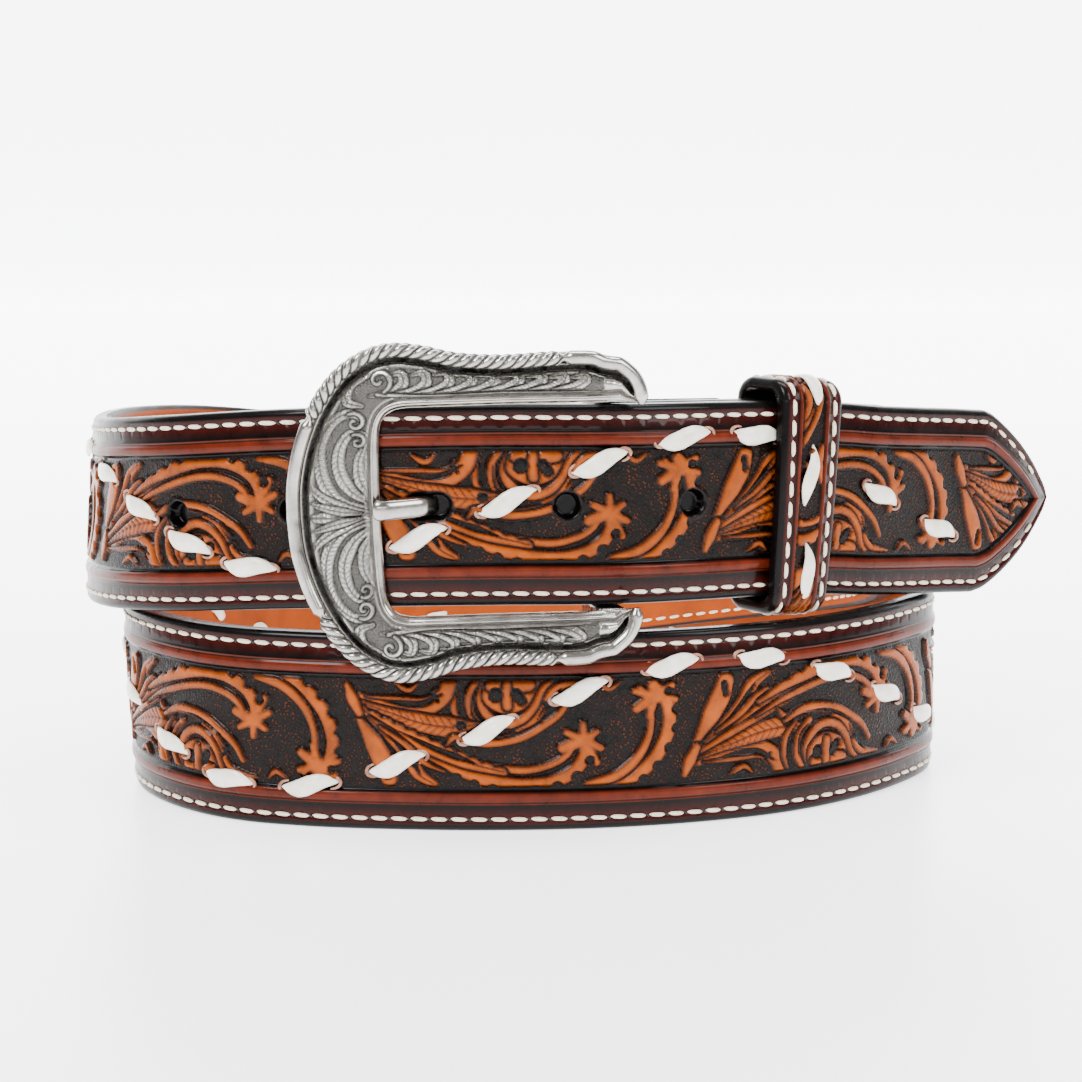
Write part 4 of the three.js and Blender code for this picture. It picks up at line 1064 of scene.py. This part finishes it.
def strap_lace():
    """The white lace on the face, the rims of its slits and its stitches inside."""
    lengths, heights, slants = lace_stations()
    behind_keeper = np.abs(lengths - (BILLET_BAR - KEEPER_REACH)) < KEEPER_WIDTH / 2 + 1
    crowded = lengths > STRAP_RUN - 15
    base = np.full(len(lengths), 0.1)
    places = np.stack([lengths, heights, slants, base], -1)[~(behind_keeper | crowded)]
    place_template(on_strap, lace, lace_quads, places, LACE_LENGTH / 2,
                   "buck_lace", materials["lace"], "lace")
    for end, name in ((1, "near"), (-1, "far")):
        rim, rim_quads = slit_template(end)
        place_template(on_strap, rim, rim_quads, places, 1,
                       f"lace_slits_{name}", materials["slit"], "tooled_leather")
    middle = np.stack([
        (lengths[1:] + lengths[:-1]) / 2, (heights[1:] + heights[:-1]) / 2,
        np.arctan2(np.diff(heights), np.diff(lengths)), np.full(len(lengths) - 1, -STRAP_THICKNESS),
    ], -1)
    middle = middle[middle[:, 0] < STRAP_RUN - 40]
    place_template(on_strap, lace * [1, 0.8, -0.7], lace_quads[:, ::-1], middle, 3.8,
                   "lace_inside", materials["lace"], "lace")


strap_lace()


# Keeper

INSIDE_DEPTH = RIB_HEIGHT + NEST_DEPTH + STRAP_THICKNESS + 2 * KEEPER_CLEARANCE
KEEPER_HALF_HEIGHT = (STRAP_WIDTH + KEEPER_SLACK_ABOVE + KEEPER_SLACK_BELOW) / 2 + KEEPER_THICKNESS
KEEPER_HALF_DEPTH = INSIDE_DEPTH / 2 + KEEPER_THICKNESS
KEEPER_MIDDLE = HALF_WIDTH + (KEEPER_SLACK_ABOVE - KEEPER_SLACK_BELOW) / 2
KEEPER_OUT = -INSIDE_DEPTH / 2 + KEEPER_CLEARANCE + RIB_HEIGHT
KEEPER_FRONT_BOW = 0.5


def keeper_loop_line():
    """Points, outward directions and lengths round the keeper's outer face."""
    radius = KEEPER_ROUND
    points, normals = [], []
    corners = [(1, 1, 0), (-1, 1, 90), (-1, -1, 180), (1, -1, 270)]
    for side_height, side_out, start in corners:
        for angle in np.radians(start + np.linspace(0, 90, 13)):
            normal = np.array([math.cos(angle), math.sin(angle)])
            centre = np.array([side_height * (KEEPER_HALF_HEIGHT - radius),
                               side_out * (KEEPER_HALF_DEPTH - radius)])
            points.append(centre + radius * normal)
            normals.append(normal)
    points, normals = np.array(points + points[:1]), np.array(normals + normals[:1])
    knots = np.concatenate([[0], np.cumsum(np.linalg.norm(np.diff(points, axis=0), axis=1))])
    return knots, points, normals


keeper_knots, keeper_line, keeper_normals = keeper_loop_line()
KEEPER_GIRTH = keeper_knots[-1]


def on_keeper(girth, across, out_by):
    """Point of the keeper: girth round it, across its width and out of its face."""
    girth, across, out_by = np.broadcast_arrays(girth, across, out_by)
    at = girth % KEEPER_GIRTH
    height, out, n_height, n_out = (
        np.interp(at, keeper_knots, column)
        for column in (*keeper_line.T, *keeper_normals.T)
    )
    front = np.clip(n_out, 0, 1)
    bow = KEEPER_FRONT_BOW * front * np.cos(np.pi * height / (2 * KEEPER_HALF_HEIGHT))
    return on_strap(
        BILLET_BAR - KEEPER_REACH - across,
        KEEPER_MIDDLE + height + out_by * n_height,
        KEEPER_OUT + out + bow + out_by * n_out,
    )


KEEPER_BORDER = np.array([
    (0, -1.3), (0.1, -0.75), (0.35, -0.35), (0.75, -0.08), (1.2, 0), (1.6, 0), (1.85, -0.1),
    (2.1, -0.18), (2.35, -0.1), (2.6, 0), (3.2, 0.02), (3.45, 0.25), (3.7, 0.32), (3.95, 0.22),
    (4.15, -0.3), (4.4, -0.4),
])
KEEPER_COLOURS = [
    (0, EDGE_BLACK), (0.9, EDGE_BLACK), (1.2, BORDER_RED), (2.8, BORDER_RED), (3.2, BORDER_DARK),
    (3.45, RIB_BROWN), (3.95, RIB_BROWN), (4.15, CUT_AND_SHADE_BLACK), (4.4, GROUND_BLACK),
]
KEEPER_STITCH_INSET = 2.1
KEEPER_FIELD = 4.3
KEEPER_LACES = 6


def keeper_skin():
    """The keeper's carved face and edges, its stitches and its lace."""
    girths = np.linspace(0, KEEPER_GIRTH, 420, endpoint=False)
    half = KEEPER_WIDTH / 2
    field = np.linspace(KEEPER_FIELD + 0.2, half, 10)
    insets = np.concatenate([KEEPER_BORDER[:, 0], field])
    across = np.concatenate([insets - half, half - insets[-2::-1]])
    inset = half - np.abs(across)
    out = np.interp(inset, KEEPER_BORDER[:, 0], KEEPER_BORDER[:, 1])
    keys = [key for key, _ in KEEPER_COLOURS]
    tone = np.stack([np.interp(inset, keys, [c[k] for _, c in KEEPER_COLOURS]) for k in range(3)], -1)
    girth, across_all = np.meshgrid(girths, across, indexing="ij")
    out = np.broadcast_to(out, girth.shape)
    tone = np.broadcast_to(tone, girth.shape + (3,))
    v = FIELD_DEPTH / 2 + 1.3 * across_all
    repeats = max(1, round(KEEPER_GIRTH / (2 * HALF_REPEAT)))
    u = girth * repeats * 2 * HALF_REPEAT / KEEPER_GIRTH
    in_field = smoothstep(KEEPER_FIELD - 0.1, KEEPER_FIELD + 0.3, half - np.abs(across_all))
    tan = carving.sample(carving.tan, u, v) * in_field
    cut = carving.sample(carving.cut, u, v) * in_field
    raised = carving.sample(carving.height, u, v)
    out = out * (1 - in_field) + raised * in_field
    tone = mix(mix(tone, LEAF_TAN, tan), CUT_AND_SHADE_BLACK, np.clip(cut, 0, 1))
    ground = in_field * (1 - np.clip(tan + 0.6 * cut, 0, 1))
    walls = np.array([-KEEPER_THICKNESS, -KEEPER_THICKNESS, -0.7 * KEEPER_THICKNESS])
    wall_across = np.array([0, -half, -half])
    full_across = np.concatenate([wall_across, across, -wall_across[:0:-1]])
    full_out = np.concatenate([
        np.broadcast_to(walls, (len(girths), 3)), out,
        np.broadcast_to(walls[:0:-1], (len(girths), 2)),
    ], 1)
    black = np.broadcast_to(EDGE_BLACK, (len(girths), 3, 3))
    full_tone = np.concatenate([black, tone, black[:, :2]], 1)
    none = np.zeros((len(girths), 3))
    full_ground = np.concatenate([none, ground, none[:, :2]], 1)
    points = on_keeper(girths[:, None], full_across[None], full_out)
    rows, columns = full_out.shape
    quads = grid_quads(rows, columns, wrap_rows=True, wrap_columns=True)
    make_mesh(
        "keeper_face", points.reshape(-1, 3), quads, materials["tooled"], "tooled_leather",
        "keeper_loop", tone=full_tone.reshape(-1, 3), ground=full_ground.ravel(),
    )
    count = int(KEEPER_GIRTH / STITCH_PITCH)
    pitch = KEEPER_GIRTH / count
    for side, name in ((-1, "near"), (1, "far")):
        places = [(k * pitch, side * (half - KEEPER_STITCH_INSET), 0.04, 0.02) for k in range(count)]
        place_template(on_keeper, stitch, stitch_quads, places, STITCH_LENGTH / 2,
                       f"keeper_stitches_{name}", materials["thread"], "thread")
    places = [
        ((k + 0.1) * KEEPER_GIRTH / KEEPER_LACES, 0.5 * (-1) ** k, 0.1 * (-1) ** k, 0.05)
        for k in range(KEEPER_LACES)
    ]
    place_template(on_keeper, lace * [1, 0.82, 0.8], lace_quads, places, LACE_LENGTH / 2,
                   "keeper_lace", materials["lace"], "lace")


keeper_skin()


# Buckle

FRAME = np.array([
    (-1, 0.64, -0.94, 1), (-0.9, 0.73, -0.66, 1), (-0.6, 0.808, -0.2, 1),
    (-0.02, 0.878, 0.045, 1), (0.09, 0.922, 0.155, 1), (0.212, 0.922, 0.31, 1),
    (0.348, 0.91, 0.51, 1), (0.476, 0.931, 0.69, 1), (0.578, 0.981, 0.81, 1),
    (0.669, 1, 0.9, 0.995), (0.749, 0.96, 0.955, 0.95), (0.832, 0.854, 0.985, 0.85),
    (0.902, 0.685, 0.995, 0.7), (0.959, 0.461, 0.998, 0.5), (0.992, 0.218, 1, 0.25),
    (1, 0, 1, 0),
])
FRAME_END = len(FRAME) - 1
ROPE_FROM, ROPE_TO = 4.7, 12.4  # places in the table where the rope begins and ends
SMOOTH_RIM = 0.75  # how full the smooth rim is, as the rope's strands go from 0 to 1


def frame_edges(place):
    """Outer and inner edge of the frame, as reach and rise, at places in its table."""
    place = np.asarray(place, float)
    lower = place > FRAME_END
    at = np.where(lower, 2 * FRAME_END - place, place)
    index = np.arange(len(FRAME), dtype=float)
    outer_reach, outer_rise, inner_reach, inner_rise = (
        smooth(index, FRAME[:, k], at) for k in range(4)
    )
    side = np.where(lower, -1, 1)
    reach = lambda share, ahead: share * np.where(share < 0, FRAME_BACK, ahead)
    outer = np.stack([reach(outer_reach, FRAME_REACH), side * outer_rise * FRAME_HEIGHT / 2], -1)
    inner = np.stack([reach(inner_reach, WINDOW_REACH), side * inner_rise * WINDOW_HALF], -1)
    return outer, inner


# Engraved leaves of the upper half of the buckle, as (reach, rise), with their width.
BUCKLE_LEAVES = [
    ([(57, 9.8), (56.4, 13.4), (54.6, 17.4), (51.6, 21.2)], 2.6),
    ([(55.4, 4.6), (56.2, 8), (55.6, 11.6), (53.8, 14.6)], 2.8),
    ([(53.4, 15), (52.2, 19.4), (49.4, 23.2), (45.4, 26)], 3.0),
    ([(44.8, 1.2), (49.5, 3), (52.4, 7), (52.9, 13), (50.7, 17.4), (47.2, 19.4), (45, 18.2)], 2.7),
    ([(44.4, 2.3), (47.6, 5), (49.4, 9), (49, 13), (47, 15.6), (45, 15.2)], 2.5),
    ([(44.2, 3.4), (45.8, 6.6), (46, 10), (45, 12.8)], 2.1),
    ([(44.8, 20.6), (47.4, 21.6), (47.2, 24.4), (44, 26.6), (40.4, 27.4)], 2.5),
    ([(45, 0.6), (49, 1.8), (53.4, 4.2), (56.2, 7.2)], 1.9),
    ([(45, 0), (50, 0), (56.6, 0)], 2.4),
    ([(46.2, 0.5), (50, 1.2), (55, 2.6)], 1.6),
]
# Curled scrolls: reach, rise, radius, starting angle and number of turns.
BUCKLE_SCROLLS = [
    (46.2, 17.6, 1.9, 60, 1.1), (45.9, 14, 1.5, 60, 1.1), (41.6, 25.2, 2.3, 250, -1.1),
]
ARM_LOBES = 9
ARM_PITCH = 3.9
ENGRAVED_LIFT = 0.42


def carve_buckle():
    """Relief over the upper half of the frame, in cells of reach and rise."""
    relief = Carving(FRAME_REACH + 2, FRAME_HEIGHT / 2 + 1, 0.11, wraps=False)
    for points, width in BUCKLE_LEAVES:
        relief.leaf(points, width, ENGRAVED_LIFT, (0.35, 1, 0.9, 0.5), 0.95, True)
    for lobe in range(ARM_LOBES):
        reach = 38.4 - ARM_PITCH * lobe
        high = 26.6 - 1.4 * smoothstep(0, ARM_LOBES, lobe)
        line = [
            (reach + 5, 22.4), (reach + 1.4, 22.8), (reach - 0.9, 24.2),
            (reach - 0.6, high - 0.3), (reach + 1.6, high - 0.6),
        ]
        relief.leaf(line, 2.1, ENGRAVED_LIFT, (0.3, 0.8, 1, 0.8, 0.3), 0.7, True)
    relief.leaf([(42, 22.6), (34, 21.7), (20, 21.9), (6, 21.8)], 0.8, 0.4, (1, 1, 0.6))
    for reach, rise, radius, start, turns in BUCKLE_SCROLLS:
        share = np.linspace(0, 1, 16)
        angle = math.radians(start) + 2 * np.pi * turns * share
        length = radius * (1 - 0.85 * share)
        line = np.stack([reach + length * np.cos(angle), rise + length * np.sin(angle)], -1)
        relief.leaf(line, 0.3 * radius + 0.3, 0.5, (0.7, 1, 0.8, 0.7))
    return relief


relief = carve_buckle()
RELIEF_DEPTH = 0.8


def silver_body(name, rings, recess=0.0, replaces=None, flip=False):
    """A closed band of silver from rings of points."""
    quads = grid_quads(*rings.shape[:2], wrap_columns=True)
    recess = np.broadcast_to(recess, rings.shape[:2])
    make_mesh(name, rings.reshape(-1, 3), quads[:, ::-1] if flip else quads, materials["silver"],
              "buckle_metal", replaces, recess=recess.ravel())


def frame_face():
    """The frame, from the outer wall over its face to the inner wall and the back."""
    places = np.linspace(0, 2 * FRAME_END, 760)
    outer, inner = frame_edges(places)
    across = inner - outer
    width = np.linalg.norm(across, axis=1)
    rim_width = np.minimum(RIM_WIDTH, 0.7 * width)[:, None]
    left = width[:, None] - rim_width
    channel_width = np.minimum(CHANNEL_WIDTH, 0.4 * left)
    lip_width = np.minimum(LIP_WIDTH, 0.5 * (left - channel_width))
    panel_width = left - channel_width - lip_width
    fullness = np.clip(panel_width / 4, 0, 1) ** 0.5
    rim = np.linspace(0, 1, 11)[1:]
    channel = np.linspace(0, 1, 6)[1:]
    panel = np.linspace(0, 1, 42)[1:]
    lip = np.linspace(0, 1, 13)[1:]
    zone = np.concatenate([[0, 0], rim, channel + 1, panel + 2, lip + 3, [4, 4, 4, 4]])
    z = zone[None]
    along = (
        np.clip(z, 0, 1) * rim_width + np.clip(z - 1, 0, 1) * channel_width
        + np.clip(z - 2, 0, 1) * panel_width + np.clip(z - 3, 0, 1) * lip_width
    )
    r, c, p, q = (np.clip(zone - k, 0, 1) for k in range(4))
    height = np.full(zone.shape, 0.5 * FRAME_DOME)
    height += np.where(zone <= 1, 0.3 * FRAME_DOME * np.sin(np.pi * r) ** 0.7, 0)
    height -= np.where((zone > 1) & (zone <= 2), 0.35 * np.sin(np.pi * c), 0)
    rise = 0.56 + 0.44 * np.sin(np.pi * np.clip(p, 0.001, 0.999)) ** 0.6
    height = np.where((zone > 2) & (zone <= 3), rise * FRAME_DOME * 0.93, height)
    lip_shape = np.interp(q, [0, 0.12, 0.25, 0.42, 0.55, 0.72, 1], [0.85, 0.72, 0.95, 1.05, 0.86, 0.8, 0.5])
    height = np.where(zone > 3, lip_shape * LIP_HEIGHT, height)
    channel_level = 0.42 * FRAME_DOME
    inside = np.where(zone > 2, fullness, 1)
    height = channel_level + (height[None] - channel_level) * inside
    flat = outer[:, None] + across[:, None] * (along / width[:, None])[..., None]
    reach, rise_at = flat[..., 0], flat[..., 1]
    in_panel = smoothstep(2.04, 2.12, z) * smoothstep(3.0, 2.92, z)
    carved = relief.sample(relief.height, reach, np.abs(rise_at)) - GROUND
    height = height + RELIEF_DEPTH * (carved - 0.5) * in_panel * fullness * (reach > 3)
    low = smoothstep(0.42, 0.12, carved) * in_panel * (reach > 3)
    cut = relief.sample(relief.cut, reach, np.abs(rise_at)) * in_panel * (reach > 3)
    gutter = smoothstep(1.0, 1.25, z) * smoothstep(2.12, 1.9, z)
    seam = smoothstep(2.94, 3.05, z) * smoothstep(3.22, 3.1, z)
    carved_dark = np.maximum(0.78 * low, 0.97 * cut)
    recess = np.clip(np.maximum(carved_dark, np.maximum(0.95 * gutter, 0.8 * seam)), 0, 1)
    out = height.copy()
    out[:, 0] = FRAME_LIFT
    out[:, -3:] = FRAME_LIFT
    along_back = along.copy()
    along_back[:, -2] = width * 2 / 3
    along_back[:, -1] = width / 3
    flat = outer[:, None] + across[:, None] * (along_back / width[:, None])[..., None]
    points = on_buckle(flat[..., 0], flat[..., 1], out)
    end_rings = [points[k] * 0.05 + points[k].mean(0) * 0.95 for k in (0, -1)]
    points = np.concatenate([end_rings[:1], points, end_rings[1:]])
    recess = np.concatenate([recess[:1], recess, recess[-1:]])
    silver_body("buckle_face", points, recess, "buckle_frame", flip=True)


def rope_rim(start, end, name, strands=3):
    """A rim along the frame: a twisted rope, or smooth with no strands."""
    places = np.linspace(start, end, 600)
    outer, inner = frame_edges(places)
    middle = outer + unit(inner - outer) * RIM_WIDTH / 2
    line = on_buckle(middle[:, 0], middle[:, 1], np.full(len(places), ROPE_HEIGHT))
    knots = np.concatenate([[0], np.cumsum(np.linalg.norm(np.diff(line, axis=0), axis=1))])
    at = np.linspace(0, knots[-1], int(knots[-1] / (0.24 if strands else 0.6)))
    line = np.stack([np.interp(at, knots, line[:, k]) for k in range(3)], -1)
    along = unit(np.gradient(line, axis=0))
    out = np.broadcast_to(strap_at(np.array([BILLET_BAR]))[3][0], along.shape)
    side = unit(np.cross(along, out))
    out = np.cross(side, along)
    turn = np.linspace(0, 2 * np.pi, 26, endpoint=False)
    if strands:
        twist = 2 * np.pi * at / (ROPE_STRAND * strands)
        groove = np.abs(np.cos(strands / 2 * (turn[None] - twist[:, None])))
    else:
        groove = np.full((len(at), len(turn)), SMOOTH_RIM)
    taper = np.clip(np.minimum(at, at[-1] - at) / 1.2, 0.2, 1)[:, None] ** 0.5
    radius = ROPE_RADIUS * (0.74 + 0.34 * groove**0.6) * taper
    points = (
        line[:, None] + side[:, None] * (radius * np.cos(turn))[..., None]
        + out[:, None] * (radius * np.sin(turn))[..., None]
    )
    silver_body(name, points, smoothstep(0.6, 0.12, groove) * 0.95)


def lathe(name, centre, axis, side, other, profile, around=36):
    """A round body: profile holds radius and place along the axis."""
    turn = np.linspace(0, 2 * np.pi, around, endpoint=False)
    radius, along = np.asarray(profile, float).T
    ring = side * np.cos(turn)[:, None] + other * np.sin(turn)[:, None]
    silver_body(name, centre + radius[:, None, None] * ring[None] + along[:, None, None] * axis)


def bar_and_lugs():
    """The bar behind the billet, its two lugs and the prong's ring."""
    point, along, up, out = (a[0] for a in strap_at(np.array([STRAP_RUN])))
    centre = point + up * HALF_WIDTH - out * BAR_DEPTH
    lug_middle = WINDOW_HALF + LUG_THICKNESS / 2
    radius = BAR_DIAMETER / 2
    rod = [(0.01, -lug_middle), (radius, -lug_middle), (radius, lug_middle), (0.01, lug_middle)]
    lathe("buckle_bar", centre, up, along, out, rod)
    behind = 0.8 * BAR_DIAMETER
    depth = behind + BAR_DEPTH + NEST_DEPTH + FRAME_LIFT + 1
    for side, name in ((-1, "lower"), (1, "upper")):
        turn = np.radians(np.arange(0, 360, 15) + 7.5)
        corner = np.sign(np.cos(turn)), np.sign(np.sin(turn))
        x = corner[0] * (LUG_WIDTH / 2 - 0.6) + 0.6 * np.cos(turn)
        y = corner[1] * (LUG_THICKNESS / 2 - 0.6) + 0.6 * np.sin(turn)
        rings = []
        for size, at in ((0.05, 0), (0.86, 0), (1, 0.5), (1, depth), (0.05, depth)):
            middle = centre + up * side * lug_middle + out * (at - behind)
            rings.append(middle + size * (x[:, None] * along + y[:, None] * up))
        silver_body(f"buckle_lug_{name}", np.array(rings), 0.15)
    ring_in = radius + SEAM_GAP
    ring_out = ring_in + PRONG_RING_WALL
    half = PRONG_WIDTH / 2
    profile = [(ring_in, -half), (ring_out - 0.3, -half), (ring_out, -half + 0.4),
               (ring_out, half - 0.4), (ring_out - 0.3, half), (ring_in, half), (ring_in, -half)]
    lathe("prong_ring", centre, up, along, out, profile)


def prong():
    """The prong: under the billet, up through its hole and on to the frame's lip."""
    half = PRONG_THICKNESS / 2
    under = -STRAP_THICKNESS - SEAM_GAP - half
    over = SEAM_GAP + half
    slope = math.tan(math.radians(PRONG_RISE))
    at_hole = lambda out: PRONG_HOLE_REACH + (out + STRAP_THICKNESS / 2) / slope
    lip = LIP_HEIGHT + SEAM_GAP + half
    ring_top = -NEST_DEPTH - TOOLED_THICKNESS + 0.4 * PRONG_THICKNESS
    line = np.array([
        (0, ring_top), (0.14 * PRONG_HOLE_REACH, under - 0.2), (0.8 * PRONG_HOLE_REACH, under),
        (at_hole(under) - 1.1 * half, under + 0.1), (at_hole(-STRAP_THICKNESS), -STRAP_THICKNESS),
        (at_hole(0), 0), (at_hole(over) + 0.9 * half, over),
        ((at_hole(over) + WINDOW_REACH) / 2, (over + lip) / 2),
        (WINDOW_REACH - LIP_WIDTH / 2, lip), (PRONG_LENGTH - 0.6, lip + 0.05),
        (PRONG_LENGTH, lip - 0.1),
    ])
    knots = np.concatenate([[0], np.cumsum(np.linalg.norm(np.diff(line, axis=0), axis=1))])
    at = np.concatenate([np.linspace(0, knots[-1] - 1, 90), knots[-1] - 1 + np.linspace(0, 1, 9)[1:]])
    reach, out = (smooth(knots, line[:, k], at) for k in (0, 1))
    run = unit(np.stack([np.gradient(reach, at), np.gradient(out, at)], -1))
    left = np.clip((knots[-1] - at) / 1.0, 0, 1)
    end = np.sqrt(np.clip(1 - (1 - left) ** 2, 0.003, 1))
    turn = np.linspace(0, 2 * np.pi, 28, endpoint=False)
    across = np.sign(np.cos(turn)) * np.abs(np.cos(turn)) ** 0.7
    sine = np.sin(turn)
    thick = np.where(sine > 0, sine, np.sign(sine) * np.abs(sine) ** 0.35 * 0.9)
    offset = thick[None] * half * end[:, None]
    points = on_strap(
        BILLET_BAR + reach[:, None] - run[:, 1:2] * offset,
        HALF_WIDTH + across[None] * PRONG_WIDTH / 2 * end[:, None],
        out[:, None] + run[:, 0:1] * offset,
    )
    silver_body("prong_body", points, 0.0, "buckle_prong", flip=True)


frame_face()
rope_rim(ROPE_FROM, ROPE_TO, "rope_upper")
rope_rim(2 * FRAME_END - ROPE_TO, 2 * FRAME_END - ROPE_FROM, "rope_lower")
rope_rim(0, ROPE_FROM, "rim_upper", 0)
rope_rim(ROPE_TO, 2 * FRAME_END - ROPE_TO, "rim_left", 0)
rope_rim(2 * FRAME_END - ROPE_FROM, 2 * FRAME_END, "rim_lower", 0)
bar_and_lugs()
prong()


# Stage, in metres

FLOOR_FRONT, FLOOR_BACK, FLOOR_HALF, FLOOR_BEND, WALL_TOP = -2.4, 1.6, 4.0, 0.6, 2.2
WORLD_LIGHT = 0.45
# Each light's name, place, size in two directions and power in watts.
LIGHTS = [
    ("key", (-0.7, -0.9, 1.2), 0.6, 0.6, 34),
    ("fill", (1.0, -0.8, 0.8), 0.5, 0.7, 14),
    ("top", (0.0, 0.1, 1.5), 1.4, 0.35, 30),
    ("front", (0.05, -1.6, 0.36), 1.6, 0.16, 5),
]


def stage():
    """A pale floor that curves up behind and glows with painted light, and soft lights."""
    bend = np.radians(np.linspace(0, 90, 13))
    line = [(FLOOR_FRONT, 0.0)] + [
        (FLOOR_BACK + FLOOR_BEND * math.sin(a), FLOOR_BEND - FLOOR_BEND * math.cos(a)) for a in bend
    ]
    line.append((FLOOR_BACK + FLOOR_BEND, WALL_TOP))
    points = [(x, y, z) for y, z in line for x in (-FLOOR_HALF, FLOOR_HALF)]
    mesh = bpy.data.meshes.new("floor")
    faces = [(2 * k, 2 * k + 1, 2 * k + 3, 2 * k + 2) for k in range(len(line) - 1)]
    mesh.from_pydata(points, [], faces)
    mesh.polygons.foreach_set("use_smooth", np.ones(len(faces), bool))
    mesh.materials.append(materials["floor"])
    floor = bpy.data.objects.new("floor", mesh)
    bpy.context.scene.collection.objects.link(floor)
    world = bpy.data.worlds.new("studio")
    world.use_nodes = True
    world.node_tree.nodes["Background"].inputs["Color"].default_value = (1, 1, 1, 1)
    world.node_tree.nodes["Background"].inputs["Strength"].default_value = WORLD_LIGHT
    bpy.context.scene.world = world
    target = np.array([0, 0, 0.045])
    for name, place, size_x, size_y, power in LIGHTS:
        data = bpy.data.lights.new(name, "AREA")
        data.shape = "RECTANGLE"
        data.size, data.size_y, data.energy = size_x, size_y, power
        lamp = bpy.data.objects.new(name, data)
        bpy.context.scene.collection.objects.link(lamp)
        lamp.location = place
        direction = Vector(target - np.array(place))
        lamp.rotation_euler = direction.to_track_quat("-Z", "Y").to_euler()


CAMERA_PLACE = np.array([2.0, -600.0, 132.0])  # from the coil's axis
CAMERA_PITCH = 8.3
FOCAL_PIXELS, PHOTO_PIXELS, SENSOR = 2793, 1082, 36


def camera():
    """The photograph's view, fitted on the belt's outline."""
    data = bpy.data.cameras.new("camera")
    data.sensor_width = SENSOR
    data.lens = FOCAL_PIXELS / PHOTO_PIXELS * SENSOR
    data.clip_start = 0.01
    view = bpy.data.objects.new("camera", data)
    bpy.context.scene.collection.objects.link(view)
    view.location = (CAMERA_PLACE + COIL_AXIS) * MM
    view.rotation_euler = (math.radians(90 - CAMERA_PITCH), 0, 0)
    bpy.context.scene.camera = view


stage()
camera()
